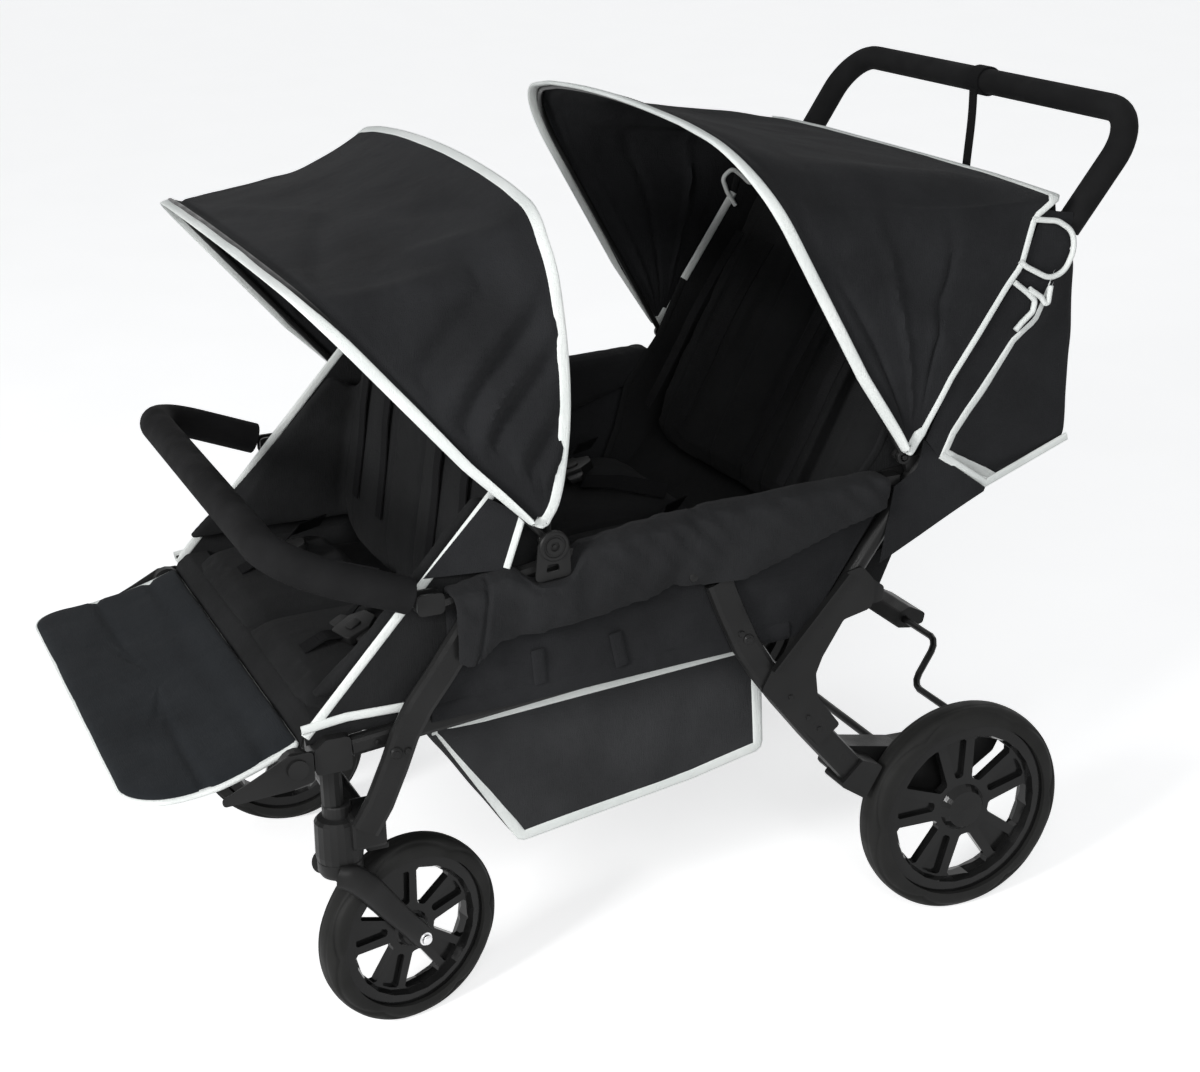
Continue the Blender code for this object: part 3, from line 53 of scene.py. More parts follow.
# Places on the frame; pairs are (y, z)
TUBE_X = 0.347                    # middle of the handle and bumper tubes
HANDLE_TOP_X = 0.357              # the handle's tube spreads this far at its top corners
HANDLE_PIVOT = (0.186, 0.404)
HANDLE_SLOPE = math.radians(53.6)
HANDLE_REACH = 0.7925             # from the pivot to the top of the loop
HANDLE_BEND = 0.6262              # from the pivot to where the loop spreads
BUMPER_PIVOT = (-0.302, 0.566)
BUMPER_RISE = math.radians(22.0)
FRONT_HUB = (-0.155, 0.617)
REAR_HUB = (0.322, 0.648)
REAR_AXLE = (0.420, 0.1456)
CASTER = (0.316, -0.420)          # x and y of the left swivel axis
CASTER_SWIVEL = math.radians(13.0)
FRONT_AXLE = (0.087, 0.1214)      # measured from the swivel axis
FORK_ARM_X = 0.0325

# Hoods. Each bow: lean from upright, length to its corner, rise of its middle, half width
FRONT_BOWS = ((math.radians(-2.2), 0.376, 0.028, 0.3670), (math.radians(18.5), 0.336, 0.030, 0.3670),
              (math.radians(40.0), 0.408, 0.022, 0.3670))
REAR_BOW = (math.radians(28.0), 0.438, 0.034, 0.3585)
FRONT_CORNER = 0.088
REAR_CORNER = 0.122
BOW_COVER = 0.0062                # from a bow's middle to its cloth
HEM_REACH = 0.011                 # how far a hood's front edge stands ahead of its bow
HOOD_ACROSS = 141                 # points across a hood

# Rivets of each side: body, y, z, x and radius
RIVETS = (("frame", -0.356, 0.390, 0.3640, 0.0075), ("rear_frame", 0.104, 0.446, 0.3640, 0.0070))

FLOOR_GLOW = 0.62
TAPE_SIDES = 10
NEAR_AXIS = 0.0001                # radius that closes a turned piece at its axis


# Materials

def node_math(nodes, links, operation, first, second):
    """A maths node fed by two sockets, or by a socket and a number."""
    made = nodes.new("ShaderNodeMath")
    made.operation = operation
    for socket, source in zip(made.inputs, (first, second)):
        if isinstance(source, float):
            socket.default_value = source
        else:
            links.new(source, socket)
    return made.outputs["Value"]


def seen_directly(nodes, links):
    """1 for camera, glossy and transmission rays, 0 for the rays that carry light."""
    path = nodes.new("ShaderNodeLightPath").outputs
    either = node_math(nodes, links, "MAXIMUM", path["Is Camera Ray"], path["Is Glossy Ray"])
    return node_math(nodes, links, "MAXIMUM", either, path["Is Transmission Ray"])


class Finish:
    """A Principled material whose colour, roughness and bump come from procedural nodes."""

    def __init__(self, name, roughness, settings):
        self.made = bpy.data.materials.new(name)
        self.made.use_nodes = True
        self.nodes = self.made.node_tree.nodes
        self.links = self.made.node_tree.links
        self.shader = self.nodes["Principled BSDF"]
        self.shader.inputs["Roughness"].default_value = roughness
        for key, value in settings.items():
            self.shader.inputs[key].default_value = value
        self.place = self.nodes.new("ShaderNodeTexCoord").outputs["Object"]
        self.normal = None

    def noise(self, scale, detail=2.0, stretch=None):
        texture = self.nodes.new("ShaderNodeTexNoise")
        texture.inputs["Scale"].default_value = scale
        texture.inputs["Detail"].default_value = detail
        source = self.place
        if stretch:
            mapping = self.nodes.new("ShaderNodeMapping")
            mapping.inputs["Scale"].default_value = stretch
            self.links.new(self.place, mapping.inputs["Vector"])
            source = mapping.outputs["Vector"]
        self.links.new(source, texture.inputs["Vector"])
        return texture.outputs["Fac"]

    def threads(self, scale):
        """Crossing threads that run along the three axes, so they show on any face."""
        runs = [self.noise(scale, 1.0, stretch) for stretch in
                ((0.07, 1.0, 1.0), (1.0, 0.07, 1.0), (1.0, 1.0, 0.07))]
        pair = node_math(self.nodes, self.links, "ADD", runs[0], runs[1])
        return node_math(self.nodes, self.links, "ADD", pair, runs[2])

    def bump(self, height, distance, strength):
        made = self.nodes.new("ShaderNodeBump")
        made.inputs["Strength"].default_value = strength
        made.inputs["Distance"].default_value = distance
        self.links.new(height, made.inputs["Height"])
        if self.normal:
            self.links.new(self.normal, made.inputs["Normal"])
        self.normal = made.outputs["Normal"]
        self.links.new(self.normal, self.shader.inputs["Normal"])

    def ramp(self, height, target, low, high):
        made = self.nodes.new("ShaderNodeValToRGB")
        for element, position, value in zip(made.color_ramp.elements, (0.35, 0.65), (low, high)):
            element.position = position
            element.color = (*value, 1.0) if isinstance(value, tuple) else (value, value, value, 1.0)
        self.links.new(height, made.inputs["Fac"])
        self.links.new(made.outputs["Color"], self.shader.inputs[target])


def cloth_finish(name, low, high, thread=1100.0, wrinkle=0.0025, sheen=0.02, roughness=0.88, shine=0.05):
    """Woven polyester: fine crossing threads, slack in the cloth and a soft sheen."""
    made = Finish(name, roughness, {"Sheen Weight": sheen, "Sheen Roughness": 0.45,
                                    "Specular IOR Level": shine})
    made.ramp(made.noise(9.0, 5.0), "Base Color", low, high)
    if wrinkle:
        made.bump(made.noise(11.0, 4.0), wrinkle * 3.0, 0.9)
        made.bump(made.noise(52.0, 3.0), wrinkle * 0.5, 0.8)
    made.bump(made.threads(thread), 0.0006, 0.9)
    return made.made


def hard_finish(name, low, high, roughness, grain=2500.0, depth=0.00012, wear=0.08, shine=0.5, metal=0.0):
    """Coated metal or moulded plastic: fine texture and slightly uneven gloss."""
    made = Finish(name, roughness, {"Specular IOR Level": shine, "Metallic": metal})
    made.ramp(made.noise(14.0, 4.0), "Base Color", low, high)
    made.ramp(made.noise(30.0, 5.0), "Roughness", max(roughness - wear, 0.02), roughness + wear)
    made.bump(made.noise(grain, 2.0), depth, 0.5)
    return made.made


FABRIC = cloth_finish("black_woven_polyester", (0.0160, 0.0163, 0.0173), (0.0218, 0.0223, 0.0238))
INNER = cloth_finish("seat_polyester", (0.0135, 0.0137, 0.0140), (0.0185, 0.0188, 0.0194), shine=0.04)
PADDING = cloth_finish("padded_polyester", (0.0155, 0.0157, 0.0165), (0.0210, 0.0214, 0.0225),
                       wrinkle=0.004, shine=0.07)
FOOT_CLOTH = cloth_finish("footrest_polyester", (0.0160, 0.0178, 0.0200), (0.0215, 0.0238, 0.0265))
BASKET_CLOTH = cloth_finish("basket_polyester", (0.0300, 0.0305, 0.0318), (0.0400, 0.0407, 0.0424))
PIPING = cloth_finish("white_binding", (0.70, 0.73, 0.71), (0.80, 0.82, 0.80), wrinkle=0.001, sheen=0.05,
                      roughness=0.8, shine=0.2)
WEBBING = cloth_finish("black_webbing", (0.0085, 0.0085, 0.0090), (0.0120, 0.0120, 0.0125), 800.0, 0.0, 0.0,
                       roughness=0.85, shine=0.04)
STEEL = hard_finish("black_powder_coat", 0.0085, 0.0120, 0.34, shine=0.15)
PLASTIC = hard_finish("textured_plastic", 0.0085, 0.0125, 0.42, 1800.0, 0.0002, shine=0.15)
GLOSS = hard_finish("gloss_plastic", 0.0065, 0.0095, 0.15, 400.0, 0.00005, wear=0.05, shine=0.19)
FOAM = hard_finish("foam_rubber", (0.0105, 0.0105, 0.0108), (0.0145, 0.0145, 0.0150), 0.85, 900.0, 0.0006,
                   shine=0.05)
RUBBER = hard_finish("tyre_rubber", (0.0130, 0.0130, 0.0125), (0.0185, 0.0185, 0.0180), 0.6, 700.0, 0.0004,
                     shine=0.10)
BRIGHT = hard_finish("zinc_plated_steel", (0.55, 0.55, 0.56), (0.70, 0.70, 0.71), 0.22, 900.0, 0.0001,
                     metal=1.0)

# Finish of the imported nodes, by how their names start
NODE_FINISHES = (
    (STEEL, ("front_leg", "side_rail", "cross_tube", "seat_tube", "rear_leg", "rear_bracket", "rear_axle",
             "brake_bar", "handle_tube", "armrest_tube", "front_canopy", "rear_canopy")),
    (PLASTIC, ("caster_housing", "rail_corner", "swivel_lock", "rear_housing", "fold_latch", "brake_pedal",
               "caster_fork")),
    (GLOSS, ("rear_rim", "front_rim")),
    (RUBBER, ("rear_tyre", "front_tyre")),
    (FOAM, ("handle_grip", "bumper_bar")),
)


def dress_nodes():
    for name, node in NODES.items():
        for finish, stems in NODE_FINISHES:
            if name.startswith(stems):
                node.data.materials.clear()
                node.data.materials.append(finish)
                node.data.polygons.foreach_set("material_index", [0] * len(node.data.polygons))


# Meshes

def put(name, data, finish):
    """An object made of a mesh or a curve, with one material."""
    made = bpy.data.objects.new(name, data)
    bpy.context.scene.collection.objects.link(made)
    data.materials.clear()
    data.materials.append(finish)
    return made


def mesh_piece(name, verts, faces, finish, turn=None):
    mesh = bpy.data.meshes.new(name)
    mesh.from_pydata(verts, [], faces)
    if turn is not None:
        mesh.transform(turn)
    return put(name, mesh, finish)


def smooth(obj, angle):
    obj.data.shade_smooth()
    obj.data.set_sharp_from_angle(angle=math.radians(angle))
    return obj


def settled(obj, angle):
    """The object with its modifiers made part of its mesh."""
    bpy.context.view_layer.update()
    graph = bpy.context.evaluated_depsgraph_get()
    mesh = bpy.data.meshes.new_from_object(obj.evaluated_get(graph))
    weld(mesh, 0.000002)
    if obj.type != "MESH":
        name, finish = obj.name, obj.data.materials[0]
        bpy.data.objects.remove(obj)
        return smooth(put(name, mesh, finish), angle)
    obj.modifiers.clear()
    obj.data = mesh
    return smooth(obj, angle)


def weld(mesh, distance):
    """Join the points that lie together and turn every face outward."""
    work = bmesh.new()
    work.from_mesh(mesh)
    bmesh.ops.remove_doubles(work, verts=work.verts, dist=distance)
    bmesh.ops.recalc_face_normals(work, faces=work.faces)
    work.to_mesh(mesh)
    work.free()


def split_faces(obj, levels):
    soft = obj.modifiers.new("soft", "SUBSURF")
    soft.levels = soft.render_levels = levels


def joined(name, pieces):
    """One object from several meshes that ride together."""
    with bpy.context.temp_override(active_object=pieces[0], selected_editable_objects=pieces):
        bpy.ops.object.join()
    pieces[0].name = name
    return pieces[0]


def cut(obj, tool):
    """Take a tool's shape out of a piece."""
    knife = obj.modifiers.new("cut", "BOOLEAN")
    knife.operation = "DIFFERENCE"
    knife.solver = "EXACT"
    knife.object = tool
    settled(obj, 40.0)
    bpy.data.objects.remove(tool)
    return obj


def vectors(obj, attribute):
    """A vector of every vertex, such as its place (co) or its normal, as an array."""
    flat = np.zeros(len(obj.data.vertices) * 3)
    obj.data.vertices.foreach_get(attribute, flat)
    return flat.reshape(-1, 3)


def move_to(obj, places):
    obj.data.vertices.foreach_set("co", places.ravel())
    obj.data.update()


# Points, paths and grids

def unit(vectors_in):
    return vectors_in / (np.linalg.norm(vectors_in, axis=-1, keepdims=True) + 1e-12)


def facing(grid):
    """Unit normals of a grid of points."""
    return unit(np.cross(np.gradient(grid, axis=0), np.gradient(grid, axis=1)))


def uneven(grid, scale, seed):
    """Smooth noise from -1 to 1 at each point of a grid."""
    shift = Vector((seed, seed * 1.7, -seed))
    flat = [noise.noise(Vector(point) * scale + shift) for point in grid.reshape(-1, 3)]
    return np.array(flat).reshape(grid.shape[:2])


def crease(u, v, fold):
    """A long soft fold between two places in the sheet's own (u, v), fading at its ends."""
    start, end, width, height = np.array(fold[0:2]), np.array(fold[2:4]), fold[4], fold[5]
    run = end - start
    along = ((u - start[0]) * run[0] + (v - start[1]) * run[1]) / (run @ run)
    near = np.clip(along, 0.0, 1.0)
    away = np.hypot(u - start[0] - near * run[0], v - start[1] - near * run[1])
    return height * np.sin(np.pi * near) ** 0.5 * np.exp(-(away / width) ** 2)


def arc_corner(before, corner, after, radius, steps):
    to_before = (before - corner).normalized()
    to_after = (after - corner).normalized()
    half = to_before.angle(to_after) / 2.0
    if half > 1.56:
        return [corner]
    radius = min(radius, 0.49 * math.tan(half) * min((before - corner).length, (after - corner).length))
    reach = radius / math.tan(half)
    centre = corner + (to_before + to_after).normalized() * (radius / math.sin(half))
    first = corner + to_before * reach - centre
    last = corner + to_after * reach - centre
    sweep = first.angle(last)
    return [centre + (first * math.sin((1 - k / steps) * sweep) + last * math.sin(k / steps * sweep))
            / math.sin(sweep) for k in range(steps + 1)]


def rounded(points, radius, steps=6, closed=False):
    """A path through points with its corners rounded, by one radius or one for each point."""
    corners = [Vector(point) for point in points]
    count = len(corners)
    radii = radius if isinstance(radius, (list, tuple)) else [radius] * count
    path = []
    for index, corner in enumerate(corners):
        if (not closed and index in (0, count - 1)) or radii[index] <= 0.0:
            path.append(corner)
        else:
            path.extend(arc_corner(corners[index - 1], corner, corners[(index + 1) % count],
                                   radii[index], steps))
    return path


def spread(path, count, closed=False):
    """Evenly spread points along a path, as an array."""
    points = np.array([tuple(point) for point in path], float)
    if closed:
        points = np.vstack([points, points[:1]])
    lengths = np.concatenate([[0.0], np.cumsum(np.linalg.norm(np.diff(points, axis=0), axis=1))])
    at = np.linspace(0.0, lengths[-1], count + 1 if closed else count)
    if closed:
        at = at[:-1]
    return np.stack([np.interp(at, lengths, points[:, axis]) for axis in range(3)], axis=1)


def upright(x, points):
    """Points of a side view, given as (y, z), at one x."""
    return [(x, y, z) for y, z in points]


def between(first, last, rows):
    """A grid of rows between two lines with the same number of points."""
    part = np.linspace(0, 1, rows)[:, None, None]
    return first[None] * (1 - part) + last[None] * part


def outline_of(points, radius=0.004):
    """A closed side outline with rounded corners."""
    flat = [(point[0], point[1], 0.0) for point in points]
    return [(place.x, place.y) for place in rounded(flat, radius, 4, closed=True)]


def sideways(x, place, way=1):
    """Lays a turned piece along X, with its top towards +X or, with way -1, towards -X."""
    return Matrix.Translation((x, *place)) @ Matrix.Rotation(math.radians(90.0 * way), 4, "Y")


def on_handle(reach, aside=0.0):
    """The (y, z) place at a reach up the handle's tube and a distance behind it."""
    return (HANDLE_PIVOT[0] + reach * math.cos(HANDLE_SLOPE) - aside * math.sin(HANDLE_SLOPE),
            HANDLE_PIVOT[1] + reach * math.sin(HANDLE_SLOPE) + aside * math.cos(HANDLE_SLOPE))


def caster_place(side):
    """From a caster's own axes, on its swivel line, to the stroller's."""
    return (Matrix.Translation((side * CASTER[0], CASTER[1], 0.0))
            @ Matrix.Rotation(side * CASTER_SWIVEL, 4, "Z"))


# Kinds of piece

def grid_faces(rows, cols, loop_rows=False, loop_cols=False):
    """Quads between the points of a grid, whose rows or columns may close on themselves."""
    return [(i * cols + j, i * cols + (j + 1) % cols,
             (i + 1) % rows * cols + (j + 1) % cols, (i + 1) % rows * cols + j)
            for i in range(rows if loop_rows else rows - 1)
            for j in range(cols if loop_cols else cols - 1)]


def surface(name, grid, finish, thickness=0.0018):
    """A sheet through a grid of points, thickened about its middle."""
    made = mesh_piece(name, grid.reshape(-1, 3).tolist(), grid_faces(*grid.shape[:2]), finish)
    shell = made.modifiers.new("thickness", "SOLIDIFY")
    shell.thickness = thickness
    shell.offset = 0.0
    return settled(made, 60.0)


def tape(name, edge, inward, finish=PIPING, width=0.0125, thick=0.0042, closed=False):
    """Binding folded over an edge: a flattened loop swept along it."""
    edge = np.array(edge, float)
    count = len(edge)
    inward = unit(np.broadcast_to(np.array(inward, float), edge.shape))
    run = np.roll(edge, -1, axis=0) - np.roll(edge, 1, axis=0) if closed else np.gradient(edge, axis=0)
    run = unit(run)
    inward = unit(inward - (inward * run).sum(axis=1, keepdims=True) * run)
    out = np.cross(run, inward)
    widths = np.broadcast_to(np.array(width, float), (count,))[:, None]
    rings = []
    for step in range(TAPE_SIDES):
        turn = 2.0 * math.pi * step / TAPE_SIDES
        c, s = math.cos(turn), math.sin(turn)
        rings.append(edge + inward * widths * (0.42 - 0.5 * math.copysign(abs(c) ** 0.7, c))
                     + out * (thick * 0.5 * math.copysign(abs(s) ** 0.8, s)))
    faces = grid_faces(count, TAPE_SIDES, closed, True)
    if not closed:
        faces.append(tuple(range(TAPE_SIDES - 1, -1, -1)))
        faces.append(tuple((count - 1) * TAPE_SIDES + k for k in range(TAPE_SIDES)))
    verts = np.array(rings).transpose(1, 0, 2).reshape(-1, 3).tolist()
    return settled(mesh_piece(name, verts, faces, finish), 60.0)


def rod(name, path, radius, finish, sides=12, sizes=None):
    """A round bar along a path; sizes scales its radius at each point."""
    curve = bpy.data.curves.new(name, "CURVE")
    curve.dimensions = "3D"
    curve.bevel_depth = radius
    curve.bevel_resolution = sides // 2 - 2
    curve.use_fill_caps = True
    spline = curve.splines.new("POLY")
    spline.points.add(len(path) - 1)
    for index, (point, place) in enumerate(zip(spline.points, path)):
        point.co = (*place, 1.0)
        if sizes is not None:
            point.radius = float(sizes[index])
    return settled(put(name, curve, finish), 50.0)


def turned(name, profile, steps, finish, turn=None):
    """A turned piece about local Z from a closed run of (radius, height) points."""
    angles = [2.0 * math.pi * k / steps for k in range(steps)]
    verts = [(radius * math.cos(angle), radius * math.sin(angle), height)
             for radius, height in profile for angle in angles]
    return settled(mesh_piece(name, verts, grid_faces(len(profile), steps, True, True), finish, turn), 35.0)


def block(name, outline, x, thick, finish, edge=0.0015, segments=3):
    """A flat piece cut to a side outline of (y, z) points, centred on x, with rounded edges."""
    count = len(outline)
    faces = [tuple(range(count - 1, -1, -1)), tuple(range(count, 2 * count))]
    faces += [(k, (k + 1) % count, count + (k + 1) % count, count + k) for k in range(count)]
    verts = upright(x - thick / 2.0, outline) + upright(x + thick / 2.0, outline)
    made = mesh_piece(name, verts, faces, finish)
    if edge:
        soft = made.modifiers.new("edges", "BEVEL")
        soft.width = edge
        soft.segments = segments
        soft.limit_method = "ANGLE"
        soft.angle_limit = math.radians(50.0)
    return settled(made, 40.0)


def webbing(name, path, width, thick=0.0018, across=(1, 0, 0)):
    """A flat strap along a path; across gives the direction of its width."""
    path = np.array(path, float)
    across = np.tile(np.array(across, float), (len(path), 1))
    run = unit(np.gradient(path, axis=0))
    across = unit(across - (across * run).sum(axis=1, keepdims=True) * run)
    grid = np.array([path + across * width * part for part in np.linspace(-0.5, 0.5, 5)])
    return surface(name, grid, WEBBING, thick), grid


# Hanging pieces on bodies and hiding the imported nodes they replace


def hang(body, *pieces):
    for piece in pieces:
        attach(piece, body)


def stand_in(node):
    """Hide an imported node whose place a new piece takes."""
    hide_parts(node)


# Camera, light and floor

def build_camera():
    """The photograph's camera, fitted in its 1200 pixel wide frame."""
    azimuth, elevation, roll = math.radians(67.197), math.radians(19.760), math.radians(-1.655)
    focal_pixels, frame_pixels, sensor = 2142.41, 1200.0, 36.0
    back = Vector((math.sin(azimuth) * math.cos(elevation), -math.cos(azimuth) * math.cos(elevation),
                   math.sin(elevation)))
    level = Vector((math.cos(azimuth), math.sin(azimuth), 0.0))
    upward = back.cross(level)
    right = level * math.cos(roll) + upward * math.sin(roll)
    up = upward * math.cos(roll) - level * math.sin(roll)
    data = bpy.data.cameras.new("camera")
    data.sensor_fit = "HORIZONTAL"
    data.sensor_width = sensor
    data.lens = focal_pixels / frame_pixels * sensor
    data.clip_end = 60.0
    camera = bpy.data.objects.new("camera", data)
    bpy.context.scene.collection.objects.link(camera)
    turn = Matrix((right, up, back)).transposed().to_4x4()
    camera.matrix_world = Matrix.Translation((2.5458, -1.0086, 1.4646)) @ turn
    bpy.context.scene.camera = camera


def area_light(name, place, target, size, power):
    data = bpy.data.lights.new(name, "AREA")
    data.shape = "RECTANGLE"
    data.size = data.size_y = size
    data.energy = power
    made = bpy.data.objects.new(name, data)
    bpy.context.scene.collection.objects.link(made)
    direction = Vector(target) - Vector(place)
    made.matrix_world = Matrix.Translation(place) @ direction.to_track_quat("-Z", "Y").to_matrix().to_4x4()


def build_studio():
    """White surroundings that throw only a little light, two soft lamps and a pale floor."""
    bpy.context.scene.view_settings.view_transform = "Standard"
    world = bpy.data.worlds.new("studio")
    bpy.context.scene.world = world
    world.use_nodes = True
    nodes, links = world.node_tree.nodes, world.node_tree.links
    nodes.clear()
    mix = nodes.new("ShaderNodeMixShader")
    links.new(seen_directly(nodes, links), mix.inputs["Fac"])
    for slot, color, strength in ((1, (0.94, 0.97, 1.0, 1.0), 0.30), (2, (1.0, 1.0, 1.0, 1.0), 1.0)):
        sky = nodes.new("ShaderNodeBackground")
        sky.inputs["Color"].default_value = color
        sky.inputs["Strength"].default_value = strength
        links.new(sky.outputs[0], mix.inputs[slot])
    links.new(mix.outputs[0], nodes.new("ShaderNodeOutputWorld").inputs["Surface"])
    area_light("key", (1.9, -3.3, 1.9), (0.0, 0.0, 0.5), 0.9, 104.0)
    area_light("fill", (3.3, -0.9, 2.0), (0.0, 0.15, 0.5), 1.6, 46.0)
    white = Finish("pale_floor", 0.9, {"Specular IOR Level": 0.1, "Emission Color": (1.0, 1.0, 1.0, 1.0)})
    white.ramp(white.noise(3.0, 2.0), "Base Color", 0.90, 0.93)
    glow = node_math(white.nodes, white.links, "MULTIPLY", seen_directly(white.nodes, white.links), FLOOR_GLOW)
    white.links.new(glow, white.shader.inputs["Emission Strength"])
    reach = 14.0
    corners = [(-reach, -reach, 0.0), (reach, -reach, 0.0), (reach, reach, 0.0), (-reach, reach, 0.0)]
    mesh_piece("floor", corners, [(0, 1, 2, 3)], white.made)


# Canopies

def arch(hub, shape, start, offset, count, corner):
    """Points over a bow from its left foot to its right one."""
    lean, length, crown, half = shape
    length += offset
    half += offset
    up = Vector((0.0, -math.sin(lean), math.cos(lean)))
    base = Vector((0.0, *hub))

    def over(part):
        return base + Vector((part * half, 0, 0)) + up * (length + crown * (1 - part * part))

    near = base + Vector((half, 0, 0))
    meet = 1.0 - corner / half
    tip = near + up * length
    foot = rounded([near + up * start, tip, tip + (over(meet * 0.6) - tip)], [0.0, corner, 0.0], 14)[:-1]
    inner = [over(part) for part in np.linspace(meet * 0.86, -meet * 0.86, 15)]
    far = [Vector((-point.x, point.y, point.z)) for point in reversed(foot)]
    return spread(foot + inner + far, count)


def ahead_of_bow(row, lean):
    """A hood's front row, moved ahead of its bow except near its feet."""
    ends = np.clip(np.linspace(0, 1, len(row)) * 12, 0, 1) * np.clip(np.linspace(1, 0, len(row)) * 12, 0, 1)
    return row + ends[:, None] * HEM_REACH * np.array((0.0, -math.cos(lean), -math.sin(lean)))


def both_sides(folds):
    """Folds (u, v, u, v, width, height) of one side, then their mirror images."""
    return [(u0, abs(side - v0), u1, abs(side - v1), width, height)
            for side in (0.0, 1.0) for u0, v0, u1, v1, width, height in folds]


def hood_border(grid):
    """The whole border of a hood's grid and the directions into the cloth."""
    edge = np.vstack([grid[-1, :-1], grid[:0:-1, -1], grid[0, :0:-1], grid[:-1, 0]])
    inner = np.vstack([grid[-3, :-1], grid[:0:-1, -4], grid[2, :0:-1], grid[:-1, 3]])
    return edge, inner - edge


def hood(rows, spans, sags, folds, seed):
    """A hood between rows of points: straight between the bows, sagging a little, with folds."""
    parts = []
    for index, (first, second) in enumerate(zip(rows, rows[1:])):
        count = spans[index]
        for step in range(count + (index == len(rows) - 2)):
            part = step / count
            parts.append(first * (1 - part) + second * part)
    grid = np.array(parts)
    total, across = grid.shape[:2]
    u = np.repeat(np.linspace(0, 1, total)[:, None], across, axis=1)
    v = np.repeat(np.linspace(0, 1, across)[None, :], total, axis=0)
    depth = np.zeros_like(u)
    start = 0
    for count, sag in zip(spans, sags):
        part = np.clip((np.arange(total) - start) / count, 0, 1)[:, None]
        depth -= sag * np.sin(np.pi * part) * np.sin(np.pi * v) ** 0.6
        start += count
    for fold in folds:
        depth += crease(u, v, fold)
    # The casing of the front bow and the stitching behind it
    depth += 0.0030 * np.exp(-((u - 0.955) / 0.018) ** 2) - 0.0026 * np.exp(-((u - 0.915) / 0.010) ** 2)
    slack = np.sin(np.pi * np.clip(u, 0, 1)) ** 0.5 * np.clip(np.sin(np.pi * v) * 8, 0, 1)
    depth += uneven(grid, 9.0, seed) * 0.0045 * slack + uneven(grid, 22.0, seed + 3) * 0.0012 * slack
    normal = facing(grid)
    centre = grid.reshape(-1, 3).mean(axis=0)
    outward = np.sign((normal * (grid - centre)).sum(axis=2).mean())
    grid = grid + normal * (outward * depth)[..., None]
    # The feet's corners are drawn up
    lift = 0.016 * np.abs(2 * u[:, 0] - 1.0) ** 3
    for foot, inward in ((0, 1), (-1, -1)):
        rise = grid[:, foot + 6 * inward] - grid[:, foot]
        rise = rise / np.linalg.norm(rise, axis=1, keepdims=True)
        for index in range(6):
            grid[:, foot + index * inward] += rise * (lift * (1 - index / 6.0))[:, None]
    return grid


def bow_piece(name, node, body, hub, shape, half):
    """A steel bow with an eye at each end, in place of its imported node."""
    corner = (REAR_CORNER if hub == REAR_HUB else FRONT_CORNER) - BOW_COVER
    pieces = [rod(name, arch(hub, (*shape[:3], half), 0.005, 0.0, 160, corner), 0.0042, STEEL)]
    eye = [(0.0092, 0.0026), (0.0086, 0.0032), (0.0056, 0.0032),
           (0.0056, -0.0032), (0.0086, -0.0032), (0.0092, -0.0026)]
    for side, label in SIDES:
        pieces.append(turned(name + "_eye_" + label, eye, 28, STEEL, sideways(side * half, hub)))
    made = joined(name, pieces)
    hang(body, made)
    stand_in(node)


def build_bows():
    rear, middle, front = FRONT_BOWS
    bow_piece("front_hood_front_bow", "front_canopy_front_bow", "canopy_front_bow", FRONT_HUB, front, 0.3655)
    bow_piece("front_hood_middle_bow", "front_canopy_middle_bow", "canopy_middle_bow", FRONT_HUB, middle,
              0.3510)
    bow_piece("front_hood_rear_bow", "front_canopy_rear_bow", "armrests", FRONT_HUB, rear, 0.3585)
    bow_piece("rear_hood_bow", "rear_canopy_bow", "rear_canopy_front_bow", REAR_HUB, REAR_BOW, 0.3585)
    clip_outline = outline_of([(-0.1800, 0.5740), (-0.1340, 0.5780), (-0.1360, 0.6240), (-0.1740, 0.6240)],
                              0.006)
    window_outline = outline_of([(-0.1660, 0.5850), (-0.1480, 0.5860), (-0.1500, 0.5950), (-0.1640, 0.5950)],
                                0.003)
    pin_shape = [(NEAR_AXIS, 0.0185), (0.0044, 0.0185), (0.0048, 0.0180), (0.0048, -0.0130),
                 (0.0044, -0.0135), (NEAR_AXIS, -0.0135)]
    cap_shape = [(NEAR_AXIS, 0.0036), (0.0022, 0.0036), (0.0024, 0.0020), (0.0054, 0.0020), (0.0058, 0.0046),
                 (0.0104, 0.0046), (0.0110, 0.0030), (0.0132, 0.0030), (0.0140, 0.0044), (0.0170, 0.0040),
                 (0.0185, 0.0024), (0.0187, -0.0016), (NEAR_AXIS, -0.0016)]
    for side, label in SIDES:
        pin = turned("hub_pin_" + label, pin_shape, 24, BRIGHT, sideways(side * 0.3575, FRONT_HUB))
        clip = block("hub_clip_" + label, clip_outline, side * 0.376, 0.0032, PLASTIC, 0.0008, 2)
        clip = cut(clip, block("window_" + label, window_outline, side * 0.376, 0.02, PLASTIC, 0.0))
        cap = turned("hub_cap_" + label, cap_shape, 56, PLASTIC, sideways(side * 0.3764, FRONT_HUB, side))
        hang("armrests", pin, clip, cap)


def fan_blend(obj):
    """Bake a hood's transform into its mesh."""
    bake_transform(obj)


